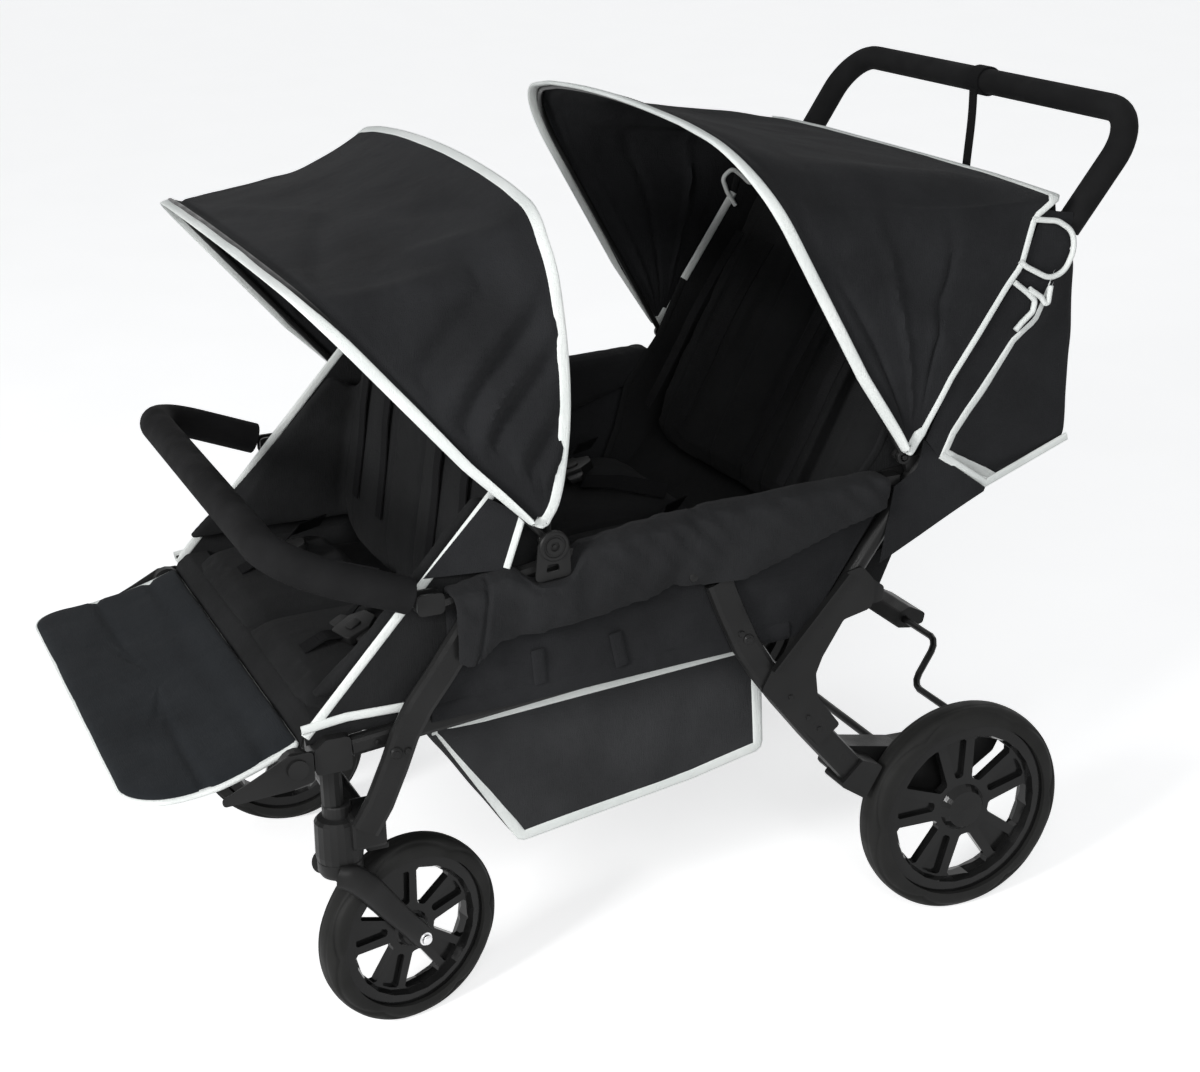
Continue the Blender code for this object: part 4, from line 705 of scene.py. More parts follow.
def build_front_canopy():
    rows = [arch(FRONT_HUB, shape, 0.026, BOW_COVER, HOOD_ACROSS, FRONT_CORNER) for shape in FRONT_BOWS]
    leg = np.clip((rows[0][:, 2] - rows[0][0, 2]) / 0.33, 0.0, 1.0)
    rows[0][:, 1] += 0.021 * np.sin(np.pi * leg ** 0.8)
    rows[2] = ahead_of_bow(rows[2], FRONT_BOWS[2][0])
    folds = both_sides([
        (0.80, 0.090, 0.04, 0.168, 0.0085, 0.0100), (0.66, 0.088, 0.06, 0.146, 0.0075, -0.0090),
        (0.86, 0.128, 0.08, 0.206, 0.0085, 0.0105), (0.80, 0.112, 0.10, 0.184, 0.0075, -0.0085),
        (0.84, 0.170, 0.16, 0.232, 0.0100, -0.0090), (0.56, 0.062, 0.08, 0.108, 0.0080, 0.0080),
        (0.44, 0.052, 0.06, 0.086, 0.0080, -0.0070), (0.92, 0.262, 0.34, 0.236, 0.016, 0.0105),
        (0.30, 0.036, 0.05, 0.066, 0.0080, 0.0060),
    ])
    folds += [(0.86, 0.30, 0.58, 0.46, 0.030, -0.006), (0.90, 0.62, 0.56, 0.48, 0.035, 0.005),
              (0.16, 0.34, 0.42, 0.40, 0.030, -0.005), (0.10, 0.26, 0.50, 0.30, 0.014, 0.006)]
    grid = hood(rows, (26, 30), (0.004, 0.006), folds, 1.0)
    cloth = surface("front_canopy_cloth", grid, FABRIC)
    trim = tape("front_canopy_binding", *hood_border(grid), width=0.0140, closed=True)
    for piece in (cloth, trim):
        fan_blend(piece)
    stand_in("front_canopy")


def build_rear_canopy():
    cover = BOW_COVER + 0.005
    front = ahead_of_bow(arch(REAR_HUB, REAR_BOW, 0.000, cover, HOOD_ACROSS, REAR_CORNER), REAR_BOW[0])
    half = REAR_BOW[3] + cover
    edge_line = [(0.336, 0.662), (0.384, 0.742), (0.421, 0.792), (0.460, 0.848), (0.480, 0.872), (0.497, 0.930)]
    top = (0.534, 0.953)
    path = upright(half, edge_line + [top])
    path += [(part * half, top[0], top[1] + 0.004) for part in (0.6, 0.3, 0.0, -0.3, -0.6)]
    path += upright(-half, [top] + edge_line[::-1])
    radii = [0.0] * 6 + [0.012] + [0.0] * 5 + [0.012] + [0.0] * 6
    rear = spread(rounded(path, radii, 8), HOOD_ACROSS)
    folds = both_sides([
        (0.66, 0.03, 0.90, 0.20, 0.014, -0.0070), (0.48, 0.03, 0.66, 0.24, 0.013, 0.0070),
        (0.30, 0.04, 0.36, 0.24, 0.014, -0.0070), (0.08, 0.21, 0.80, 0.20, 0.020, 0.0100),
        (0.06, 0.25, 0.90, 0.26, 0.022, -0.0100), (0.04, 0.30, 0.74, 0.31, 0.026, 0.0085),
        (0.16, 0.13, 0.60, 0.16, 0.012, -0.0060), (0.10, 0.09, 0.40, 0.12, 0.010, 0.0050),
    ])
    grid = hood([rear, front], (44,), (0.010,), folds, 5.0)
    cloth = surface("rear_canopy_cloth", grid, FABRIC)
    edge, inner = hood_border(grid)
    rear_edge = np.zeros(len(edge), bool)
    rear_edge[(len(grid[0]) - 1) + (len(grid) - 1):-(len(grid) - 1)] = True
    trim = tape("rear_canopy_binding", edge, inner, thick=0.0060, closed=True,
                width=np.where(rear_edge, np.where(edge[:, 2] > 0.945, 0.0150, 0.0085), 0.0148))
    for piece in (cloth, trim):
        fan_blend(piece)
    stand_in("rear_canopy")


def build_rear_panel():
    """Cloth bag behind the rear seats, its sleeves round the handle and its gussets."""
    half, cheek_x = 0.330, 0.3605
    back = spread(upright(0, [(0.520, 0.950), (0.560, 0.905), (0.583, 0.861), (0.587, 0.760),
                              (0.584, 0.625), (0.470, 0.588)]), 45)
    edge = spread(upright(0, [(0.530, 0.945), (0.535, 0.870), (0.504, 0.802), (0.472, 0.780), (0.447, 0.747),
                              (0.426, 0.720), (0.408, 0.699), (0.388, 0.672), (0.374, 0.642)]), 45)
    cheek = ((0.0, cheek_x), (0.12, 0.3600), (0.25, 0.352), (0.5, 0.342), (0.75, 0.335))
    rows = []
    for rim, spine in zip(edge, back):
        side = [(x, *(rim[1:] * (1 - k) + spine[1:] * k)) for k, x in cheek]
        side.append((half, *spine[1:]))
        middle = [(half * part, spine[1] + 0.006 * (1 - part * part), spine[2])
                  for part in np.linspace(0.94, -0.94, 33)]
        rows.append(side + middle + [(-x, y, z) for x, y, z in reversed(side)])
    grid = np.array(rows, float)
    wave = uneven(grid, 8.0, 9.0) * 0.005 + uneven(grid, 20.0, 2.0) * 0.0018
    fade = np.sin(np.pi * np.linspace(0, 1, len(rows)))[:, None] ** 0.5
    fade = fade * np.clip(np.abs(np.abs(grid[..., 0]) - cheek_x) / 0.012, 0.0, 1.0)
    grid = grid + facing(grid) * (wave * fade)[..., None]
    cloth = surface("rear_panel_cloth", grid, FABRIC, 0.0016)
    split_faces(cloth, 1)
    cloth = settled(cloth, 60.0)
    trims = [tape("rear_panel_base_binding", grid[-1], grid[-4] - grid[-1])]
    for side, label in SIDES:
        first, inner = (0, 2) if side > 0 else (-1, -3)
        trims.append(tape("rear_panel_side_binding_" + label, grid[8:, first] + np.array((side * 0.0012, 0, 0)),
                          grid[8:, inner] - grid[8:, first]))
        base = spread([(side * 0.3622, 0.372, 0.640), (side * 0.3540, 0.446, 0.588),
                       (side * 0.338, 0.520, 0.605), (side * 0.3315, 0.585, 0.625)], 40)
        trims.append(tape("rear_panel_cheek_binding_" + label, base, (0, 0.1, 1.0), width=0.011))
        build_sleeve(side, label)
    hang("handle", cloth, *trims)
    stand_in("rear_panel")


def build_sleeve(side, label):
    """Cloth over the handle tube, its piped loop and hook, and the gusset below the hub."""
    front = spread(upright(side * 0.3655, [(0.509, 0.939), (0.496, 0.905), (0.470, 0.850), (0.424, 0.792),
                                           (0.386, 0.742), (0.366, 0.700), (0.350, 0.668)]), 40)
    rear = spread(upright(side * 0.3612, [(0.556, 0.930), (0.556, 0.890), (0.508, 0.804), (0.473, 0.780),
                                          (0.448, 0.747), (0.427, 0.720), (0.388, 0.672), (0.372, 0.640)]), 40)
    grid = between(front, rear, 9)
    grid[..., 0] += side * 0.0010 * np.sin(np.pi * np.linspace(0, 1, 9))[:, None]
    sleeve = surface("handle_sleeve_" + label, grid, FABRIC, 0.0016)
    trims = []
    for kind, x, bend, points in (
            ("loop", 0.3722, 0.032, [(0.4905, 0.9300), (0.5269, 0.9246), (0.5500, 0.9090), (0.5523, 0.8850),
                                     (0.5400, 0.8600), (0.5180, 0.8530), (0.4835, 0.8719), (0.4740, 0.8800)]),
            ("hook", 0.3715, 0.003, [(0.4895, 0.8434), (0.5070, 0.8312), (0.5169, 0.8176), (0.5207, 0.8441)]),
            ("tail", 0.3705, 0.006, [(0.4680, 0.8540), (0.4871, 0.8391), (0.4990, 0.8275), (0.4965, 0.8140),
                                     (0.4811, 0.8017), (0.4720, 0.7930)])):
        path = spread(rounded(upright(side * x, points), bend, 8), 90)
        trims.append(rod("handle_%s_binding_%s" % (kind, label), path, 0.0036, PIPING))
    hang("handle", sleeve, *trims)
    upper = spread(upright(side * 0.3608, [(0.3085, 0.612), (0.342, 0.630), (0.350, 0.668), (0.374, 0.642),
                                           (0.442, 0.590)]), 30)
    lower = spread(upright(side * 0.3608, [(0.290, 0.514), (0.330, 0.533), (0.400, 0.567), (0.440, 0.585)]), 30)
    grid = between(upper, lower, 10)
    grid[..., 0] += side * uneven(grid, 20.0, 3.0) * 0.0006
    gusset = surface("rear_gusset_" + label, grid, FABRIC, 0.0014)
    hang("handle", gusset)


# Padded pieces

def swollen(obj, rest, pressure, cap):
    """Places of the vertices after a short cloth simulation under pressure, none moved past the cap."""
    scene = bpy.context.scene
    cloth = obj.modifiers.new("stuffing", "CLOTH")
    for key, value in (("quality", 4), ("mass", 0.3), ("use_pressure", True),
                       ("uniform_pressure_force", pressure), ("tension_stiffness", 12.0),
                       ("compression_stiffness", 12.0), ("bending_stiffness", 0.4)):
        setattr(cloth.settings, key, value)
    cloth.settings.effector_weights.gravity = 0.0
    cloth.point_cache.frame_start = 1
    cloth.point_cache.frame_end = 20
    for step in range(1, 21):
        scene.frame_set(step)
    graph = bpy.context.evaluated_depsgraph_get()
    moved = np.array([vert.co[:] for vert in obj.evaluated_get(graph).data.vertices])
    obj.modifiers.clear()
    scene.frame_set(1)
    step = moved - rest
    size = np.linalg.norm(step, axis=1, keepdims=True)
    return rest + step * np.minimum(1.0, cap / np.maximum(size, 1e-9))


def padded_from(node, name, finish, voxel=0.006, cap=0.009, pressure=4.0, shrink=0.004):
    """A stuffed piece swollen from its CAD solid."""
    mesh = NODES[node].data.copy()
    made = put(name, mesh, finish)
    inset = made.modifiers.new("inset", "DISPLACE")
    inset.strength = -shrink
    inset.mid_level = 0.0
    weld(mesh, 0.00002)
    grid = made.modifiers.new("voxels", "REMESH")
    grid.mode = "VOXEL"
    grid.voxel_size = voxel
    settled(made, 180.0)
    rest = np.array([vert.co[:] for vert in made.data.vertices])
    made.data.vertices.foreach_set("co", swollen(made, rest, pressure, cap).ravel())
    split_faces(made, 1)
    settled(made, 180.0)
    stand_in(node)
    return made


def groove(obj, measure, width, depth, toward=None):
    """Press a sewn line into a padded piece where measure(x, y, z) is near zero."""
    places, normals = vectors(obj, "co"), vectors(obj, "normal")
    push = depth * np.exp(-(measure(*places.T) / width) ** 2)
    if toward is not None:
        push = push * np.clip(normals @ np.array(toward), 0.0, 1.0)
    move_to(obj, places - normals * push[:, None])


def build_seats():
    front_seat = padded_from("front_seat", "front_seat_cushion", INNER)
    front_back = padded_from("front_back", "front_back_cushion", INNER, voxel=0.007, cap=0.006)
    rear_seat = padded_from("rear_seat", "rear_seat_cushion", INNER)
    rear_back = padded_from("rear_back", "rear_back_cushion", INNER)
    for seat in (front_seat, rear_seat):
        groove(seat, lambda px, py, pz: px, 0.005, 0.005, (0, 0, 1))
        groove(seat, lambda px, py, pz: np.abs(px) - 0.275, 0.004, 0.003, (0, 0, 1))
    for back in (front_back, rear_back):
        groove(back, lambda px, py, pz: px, 0.005, 0.005, (0, -1, 0.2))
        groove(back, lambda px, py, pz: np.abs(np.abs(px) - 0.154) - 0.075, 0.003, 0.0022, (0, -1, 0.2))
    hang("frame", front_seat, front_back, rear_seat)
    hang("rear_backrest", rear_back)
    build_slings()
    for side, label in SIDES:
        build_front_wing(side, label)
        build_rear_wing(side, label)


def wing(name, side, x, front, rear, body):
    """An upright cloth side of a seat, bound along its front edge."""
    grid = between(spread(upright(0, front), 50), spread(upright(0, rear), 50), 24)
    v = np.linspace(0, 1, 24)[:, None]
    grid[..., 0] = side * x + side * uneven(grid, 11.0, side * 4.0) * 0.0022 * np.sin(np.pi * v)
    cloth = surface(name, grid, INNER, 0.0022)
    trim = tape(name + "_binding", grid[0], grid[1] - grid[0], width=0.0120, thick=0.0045)
    hang(body, cloth, trim)
    return cloth, trim, grid


def build_front_wing(side, label):
    """Side of the front seat, with its hem, a dark strip of painted shadow under the hem, the flap round its
    tube and a liner at the seat.
    """
    cloth, trim, grid = wing("front_wing_" + label, side, 0.3265, [(-0.457, 0.418), (-0.166, 0.728)],
                             [(-0.345, 0.4145), (-0.190, 0.4310), (-0.130, 0.735)], "frame")
    cheek = between(spread(upright(side * 0.328, [(-0.215, 0.670), (-0.300, 0.585)]), 20),
                    spread(upright(side * 0.356, [(-0.180, 0.651), (-0.203, 0.590)]), 20), 10)
    flap = surface("front_flap_" + label, cheek, FABRIC)
    edge = tape("front_flap_binding_" + label, cheek[-1], cheek[-2] - cheek[-1], width=0.009)
    bottom = spread(upright(side * 0.3285, [(-0.457, 0.420), (-0.403, 0.4265), (-0.330, 0.4250)]), 30)
    foot = tape("front_wing_hem_" + label, bottom, (0, 0, 1.0), width=0.0115, thick=0.005)
    # A dark strip of seat cloth below the hem: painted shadow under the hem, not a part of the seat.
    hem_shadow_strip = tape("front_wing_skirt_" + label, bottom + np.array((-side * 0.0025, 0.004, -0.0150)),
                 (0, 0, 1.0), INNER, width=0.022, thick=0.0024)
    strip = np.array([[(side * 0.3208, y, z) for y in np.linspace(-0.345, -0.165, 24)]
                      for z in np.linspace(0.400, 0.4335, 6)])
    liner = surface("front_seat_liner_" + label, strip, INNER, 0.0012)
    hang("frame", flap, edge, foot, hem_shadow_strip, liner)


def build_rear_wing(side, label):
    """Side of the rear seat, with a pale band on its edge and a curled cord end above it."""
    cloth, trim, grid = wing("rear_wing_" + label, side, 0.3245,
                             [(0.196, 0.446), (0.228, 0.520), (0.246, 0.585), (0.299, 0.650), (0.341, 0.733),
                              (0.427, 0.858), (0.440, 0.900)],
                             [(0.300, 0.446), (0.372, 0.600), (0.446, 0.742), (0.520, 0.905)], "handle")
    trim.data.materials[0] = INNER
    shown = grid[0][(grid[0][:, 2] > 0.728) & (grid[0][:, 2] < 0.862)]
    strip = spread(shown + np.array((-side * 0.0005, -0.0006, 0)), 30)
    band = tape("rear_wing_band_" + label, strip, (0, 0.8, -0.6), width=0.0125, thick=0.0056)
    curl = [(0.4333, 0.8372), (0.4201, 0.8582), (0.4119, 0.8801), (0.4287, 0.8935), (0.4454, 0.8799),
            (0.4588, 0.8665), (0.4757, 0.8739)]
    knot = rod("rear_wing_curl_" + label, spread(rounded(upright(side * 0.3215, curl), 0.010), 60), 0.0034,
               PIPING, 10)
    hang("handle", band, knot)


def build_slings():
    """Cloth that joins the footrest, the seats and the bag behind them."""
    for name, half, body, held, line in (
            ("front_apron", 0.3225, "frame", "front_seat_cushion",
             [(-0.470, 0.391), (-0.459, 0.3975), (-0.455, 0.414), (-0.440, 0.4262), (-0.412, 0.4262)]),
            ("front_gap_cloth", 0.3200, "frame", "front_seat",
             [(-0.246, 0.4035), (-0.200, 0.4030), (-0.168, 0.4030)]),
            ("rear_bag_base", 0.3300, "handle", "handle_tube",
             [(0.212, 0.447), (0.244, 0.455), (0.268, 0.480), (0.295, 0.512), (0.419, 0.567), (0.468, 0.586)])):
        path = spread(rounded(upright(0, line), 0.01, 5), 40)
        xs = np.linspace(-half, half, 60)
        grid = np.array([[(x, y, z) for x in xs] for _, y, z in path])
        grid[..., 2] += uneven(grid, 10.0, 3.0) * 0.0012
        made = surface(name, grid, INNER)
        hang(body, made)


def buckle(name, place, turn):
    """A five-point harness buckle: a shield, two side clips and a button."""
    shapes = (
        ([(-0.020, -0.022), (0.020, -0.022), (0.024, 0.010), (0.012, 0.028), (-0.012, 0.028),
          (-0.024, 0.010)], 0.000, 0.012),
        ([(-0.044, -0.012), (-0.022, -0.014), (-0.022, 0.012), (-0.044, 0.008)], 0.001, 0.008),
        ([(0.022, -0.014), (0.044, -0.012), (0.044, 0.008), (0.022, 0.012)], 0.001, 0.008),
        ([(-0.009, -0.009), (0.009, -0.009), (0.009, 0.009), (-0.009, 0.009)], 0.011, 0.0145),
    )
    pieces = [block("%s_%d" % (name, index), outline_of(points, 0.005), (low + high) / 2.0, high - low,
                    PLASTIC, 0.0012) for index, (points, low, high) in enumerate(shapes)]
    made = joined(name, pieces)
    lay = Matrix(((0, 1, 0, 0), (0, 0, 1, 0), (1, 0, 0, 0), (0, 0, 0, 1)))
    made.data.transform(Matrix.Translation(place) @ turn @ lay)
    return made


def strap(name, path, width, body, across=(1, 0, 0)):
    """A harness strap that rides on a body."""
    made, grid = webbing(name, path, width, across=across)
    hang(body, made)


def build_harness():
    """Shoulder, lap and crotch straps of the four seats, with their buckles."""
    rows = (("front", "frame", (-0.186, 0.446), (-0.128, 0.760), (-0.335, 0.4555)),
            ("rear", "rear_backrest", (0.238, 0.505), (0.420, 0.800), (0.090, 0.5085)))
    for row, back_body, low, high, buckle_at in rows:
        back = Vector((0.0, high[0] - low[0], high[1] - low[1])).normalized()
        ahead = Vector((0.0, -back.z, back.y))
        base = Vector((0.0, *buckle_at))
        for seat in (-1, 1):
            x = seat * 0.154
            tag = "%s_%s" % (row, "left" if seat > 0 else "right")
            for part in (-1, 1):
                foot = Vector((x + part * 0.052, low[0], low[1])) + ahead * 0.046 + back * 0.060
                head = Vector((x + part * 0.046, high[0], high[1])) + ahead * 0.046
                middle = (foot + head) / 2.0 + ahead * 0.006
                path = spread([head, middle, foot], 26)
                path += np.array(ahead)[None, :] * (0.0015 * np.sin(np.linspace(0, 7, 26)))[:, None]
                strap("shoulder_strap_%s_%d" % (tag, part + 1), path, 0.022, back_body)
                path = [(x + part * 0.128, base.y + 0.085, base.z + 0.004),
                        (x + part * 0.082, base.y + 0.030, base.z + 0.012),
                        (x + part * 0.040, base.y - 0.004, base.z + 0.006)]
                strap("lap_strap_%s_%d" % (tag, part + 1), spread(rounded(path, 0.03), 22), 0.022, "frame",
                      (0.25 * part, 1.0, 0.55))
            path = [(x, base.y - 0.070, base.z - 0.004), (x, base.y - 0.040, base.z + 0.010),
                    (x, base.y - 0.012, base.z + 0.006)]
            strap("crotch_strap_" + tag, spread(rounded(path, 0.02), 18), 0.028, "frame")
            turn = Matrix.Rotation(math.radians(14.0 * seat), 4, "Z") @ Matrix.Rotation(0.35, 4, "X")
            hang("frame", buckle("buckle_" + tag, Vector((x, base.y, base.z + 0.006)), turn))


def build_armrest_covers():
    """Padded covers with gathers below their top line, a dip under the hub clip and snaps."""
    snap_shape = [(NEAR_AXIS, 0.0030), (0.0035, 0.0028), (0.0058, 0.0016), (0.0066, 0.0000),
                  (0.0066, -0.004), (NEAR_AXIS, -0.004)]
    for side, label in SIDES:
        cover = padded_from("armrest_cover_" + label, "armrest_cushion_" + label, PADDING, voxel=0.0045,
                            cap=0.0045, pressure=3.0, shrink=0.0015)
        co = vectors(cover, "co")
        y = co[:, 1]
        top = np.interp(y, [-0.283, -0.215, -0.13, -0.028, 0.08, 0.18, 0.304],
                        [0.577, 0.592, 0.606, 0.621, 0.629, 0.632, 0.636])
        drop = np.clip((top - co[:, 2]) / 0.10, 0.0, 1.0)
        outside = np.clip((co[:, 0] * side - 0.355) / 0.012, 0.0, 1.0)
        slack = 0.55 + 0.45 * np.sin(y * 17.0 + 0.8) * np.sin(y * 41.0)
        pleats = np.sin(2 * np.pi * (y - 0.10 * drop) / 0.037 + 2.6 * np.sin(y * 19.0))
        gather = pleats * np.exp(-drop * 3.2) * slack
        swell = 0.0044 * np.sin(np.pi * drop) + 0.0036 * gather
        lower = 0.0028 * np.sin(2 * np.pi * y / 0.091 + 2.0 + 3.4 * drop + 2.4 * np.sin(y * 21.0)) * drop
        co[:, 0] += side * outside * (swell + lower)
        co[:, 2] -= 0.0012 * np.clip(gather, 0, 1) * (drop < 0.12)
        hub = np.exp(-((y + 0.157) / 0.034) ** 4)
        co[:, 2] -= hub * 0.026 * np.clip((co[:, 2] - 0.560) / 0.040, 0.0, 1.0)
        co[:, 0] += side * outside * hub * 0.0085
        move_to(cover, co)
        groove(cover, lambda px, py, pz: (py + 0.232 + (0.598 - pz) * 0.18) + (px * side < 0.355) * 1.0,
               0.003, 0.004)
        hang("armrests", cover)
        for index, place in enumerate(((-0.236, 0.530), (0.024, 0.547), (0.160, 0.568))):
            hang("armrests", turned("snap_%s_%d" % (label, index), snap_shape, 20, PLASTIC,
                                    sideways(side * 0.376, place, side)))


# Cloth on the frame

def build_side_panels():
    """Cloth from the armrest down round the side rail, with belt loops and a hem."""
    for side, label in SIDES:
        top = [(-0.276, 0.500), (-0.212, 0.560), (-0.150, 0.574), (-0.028, 0.590), (0.100, 0.597),
               (0.200, 0.602), (0.284, 0.605)]
        bottom = [(-0.305, 0.412), (-0.150, 0.416), (0.020, 0.424), (0.175, 0.430), (0.188, 0.430),
                  (0.222, 0.475), (0.2530, 0.520), (0.302, 0.590)]
        x = side * 0.3452
        grid = between(spread(upright(x, top), 110), spread(upright(x, bottom), 110), 40)
        v = np.linspace(0, 1, 40)[:, None]
        wave = uneven(grid, 10.0, 4.0 + side) * 0.0060 + uneven(grid, 26.0, side) * 0.0030
        puff = 0.0022 * np.sin(np.pi * v)
        grid[..., 0] += side * ((wave + puff) * np.sin(np.pi * v) ** 0.5)
        cloth = surface("side_cloth_" + label, grid, FABRIC, 0.0026)
        trims = [tape("side_hem_" + label, grid[-1, :76], (0, 0, 1.0), FABRIC, width=0.024, thick=0.0062)]
        for index, (y, z) in enumerate(((-0.180, 0.457), (-0.083, 0.460))):
            strip = grid[:, np.argmin(np.abs(grid[20, :, 1] - y))]
            strip = strip[(strip[:, 2] > z - 0.024) & (strip[:, 2] < z + 0.024)]
            strip = spread(strip + np.array((side * 0.0034, 0, 0)), 12)
            trims.append(tape("belt_loop_%s_%d" % (label, index), strip, (0, 1.0, 0), FABRIC, width=0.017,
                              thick=0.003))
        for piece in (cloth, *trims):
            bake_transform(piece)
        stand_in("side_panel_" + label)


def build_basket():
    """Open cloth basket: a bottom and ends in one run, and a side at each end of it."""
    half, steps = 0.284, 90
    front_lip, rear_lip = (-0.287, 0.376), (0.160, 0.405)
    run = spread(rounded(upright(0, [front_lip, (-0.179, 0.196), (0.062, 0.231), (0.163, 0.252), rear_lip]),
                         [0, 0.012, 0, 0.012, 0]), steps)
    mouth = spread(upright(0, [front_lip, rear_lip]), steps)
    stations = np.linspace(-1.0, 1.0, 41)
    grid = np.array([[(half * s, y, z) for s in stations] for _, y, z in run])
    u = np.linspace(0, 1, steps)[:, None]
    sag = np.sin(np.pi * np.clip((u - 0.33) / 0.4, 0, 1)) * (1 - stations[None, :] ** 2)
    grid[..., 2] -= 0.010 * sag
    wave = uneven(grid, 7.0, 3.0) * 0.004 * (1 - stations[None, :] ** 8)
    grid = grid + facing(grid) * wave[..., None]
    pieces = [surface("basket_base", grid, BASKET_CLOTH)]
    trims = []
    v = np.linspace(0, 1, 16)[None, :]
    for side, label in SIDES:
        wall = np.array([[(side * half, *(lip[1:] * (1 - k) + low[1:] * k)) for k in np.linspace(0, 1, 16)]
                         for lip, low in zip(mouth, run)])
        wave = 0.005 * np.sin(np.pi * v) * np.sin(np.pi * u) + uneven(wall, 9.0, 6.0 + side) * 0.004
        wall[..., 0] += side * wave * np.sin(np.pi * v)
        pieces.append(surface("basket_side_" + label, wall, BASKET_CLOTH))
        inward = mouth - run
        inward[[0, -1]] = inward[[1, -2]]
        aside = np.array((side * half, 0.0, 0.0))
        trims.append(tape("basket_binding_" + label, run + aside, inward, width=0.0150))
        trims.append(tape("basket_lip_" + label, mouth + aside, (0, 0.05, -1.0), width=0.0130))
    basket = joined("basket_cloth", pieces)
    hang("frame", basket, *trims)
    stand_in("basket")


def build_foot_well():
    xs, ys = np.linspace(-0.302, 0.302, 60), np.linspace(-0.172, -0.052, 16)
    grid = np.array([[(x, y, 0.4062) for x in xs] for y in ys])
    grid[..., 2] += uneven(grid, 12.0, 2.0) * 0.0016
    cloth = surface("foot_well_cloth", grid, INNER, 0.0022)
    hang("frame", cloth)
    stand_in("foot_well")


def footrest_height(y):
    """Height of the footrest's middle plane, which curves up toward its hinge."""
    return 0.3690 + 0.036 * np.clip((y + 0.610) / 0.150, 0.0, None) ** 1.7


def build_footrest():
    """Stuffed board with a binding round it, two sewn creases and its hinge arms."""
    plan = [(0.322, -0.460, 0.0), (0.332, -0.560, 0.0), (0.330, -0.6655, 0.0), (-0.330, -0.6655, 0.0),
            (-0.332, -0.560, 0.0), (-0.322, -0.460, 0.0)]
    border = spread(rounded(plan, [0.006, 0, 0.085, 0.085, 0, 0.006], 12, True), 260, closed=True)
    centre = np.array((0.0, -0.556, 0.0))
    half = 0.008
    # Rings from the border inward: their share of its size and of the board's full thickness
    rings = ((1.0, 0.0), (0.985, 0.45), (0.96, 0.75), (0.92, 0.92), (0.86, 1.0), (0.78, 1.0), (0.68, 1.0),
             (0.56, 1.0), (0.42, 1.0), (0.26, 1.0), (0.10, 1.0))
    layers = []
    for way, order in ((1, rings), (-1, rings[::-1])):
        for part, rise in order:
            layer = centre + (border - centre) * part
            layer[:, 2] = way * half * rise + 0.0020 * rise * way
            layers.append(layer)
    verts = np.array(layers)
    y = verts[..., 1]
    top = (np.arange(len(layers)) < len(rings))[:, None]
    seam = sum(np.exp(-((y - line) / 0.0060) ** 2) for line in (-0.500, -0.575))
    ripple = uneven(verts, 11.0, 7.0) * 0.0022
    verts[..., 2] += np.where(top, -0.0050 * seam + ripple, 0.0) * (np.abs(verts[..., 2]) > 0.003)
    verts[..., 2] += footrest_height(y)
    count, last = len(border), len(rings) - 1
    faces = [face for face in grid_faces(len(layers), count, False, True) if face[0] // count != last]
    faces += [tuple(range(ring * count, (ring + 1) * count)) for ring in (last, last + 1)]
    board = mesh_piece("footrest_cushion", verts.reshape(-1, 3).tolist(), faces, FOOT_CLOTH)
    board = settled(board, 60.0)
    edge = border.copy()
    edge[:, 2] = footrest_height(edge[:, 1])
    trim = tape("footrest_binding", edge, centre + np.array((0, 0, 0.369)) - edge, width=0.011, thick=0.0075,
                closed=True)
    arm = outline_of([(-0.450, 0.366), (-0.450, 0.404), (-0.480, 0.404), (-0.520, 0.384),
                      (-0.560, 0.366), (-0.560, 0.356), (-0.480, 0.360)], 0.005)
    arms = [block("footrest_arm_" + label, arm, side * 0.3445, 0.003, STEEL, 0.0006, 2)
            for side, label in SIDES]
    hang("footrest", board, trim, *arms)
    stand_in("footrest")


def build_handle_strap():
    """A loop of webbing round the grip and the strap that hangs from it."""
    top = on_handle(HANDLE_REACH)
    ring = [(0.0, top[0] + 0.0190 * math.cos(a), top[1] + 0.0190 * math.sin(a))
            for a in np.linspace(0, 2 * math.pi, 41)[:-1]]
    loop, _ = webbing("handle_loop", ring + ring[:2], 0.026, 0.0026)
    start = np.array((0.0, top[0] - 0.0165, top[1] - 0.006))
    drop = np.array([start] + [start + np.array((0.0, -0.06 * d, -d)) for d in np.linspace(0.004, 0.125, 24)])
    drop[:, 0] += 0.002 * np.sin(np.linspace(0, 5, len(drop)))
    hanging, _ = webbing("handle_drop", drop, 0.016, 0.0030)
    both = joined("handle_webbing", [loop, hanging])
    hang("handle", both)
    stand_in("handle_strap")


# Hardware

def build_hardware():
    """Axle bolts, forks and rivets."""
    bolt_shape = [(NEAR_AXIS, 0.0046), (0.0042, 0.0044), (0.0062, 0.0030), (0.0066, 0.0), (0.0066, -0.001),
                  (0.0084, -0.0012), (0.0084, -0.0040), (NEAR_AXIS, -0.0040)]
    for side, label in SIDES:
        place = caster_place(side)
        for end in (1, -1):
            bolt = turned("axle_bolt_%s_%d" % (label, end + 1), bolt_shape, 28, BRIGHT,
                          place @ sideways(end * 0.0430, FRONT_AXLE, end))
            hang("caster_" + label, bolt)
        build_fork(label, place)
    for side, label in SIDES:
        for body, y, z, x, radius in RIVETS:
            head = [(NEAR_AXIS, 0.0034), (radius * 0.45, 0.0032), (radius * 0.50, 0.0024),
                    (radius * 0.80, 0.0022), (radius, 0.0006), (radius, -0.0030), (NEAR_AXIS, -0.0030)]
            hang(body, turned("rivet_%s_%d_%s" % (body, round(abs(y) * 1000), label), head, 24, PLASTIC,
                              sideways(side * x, (y, z), side)))


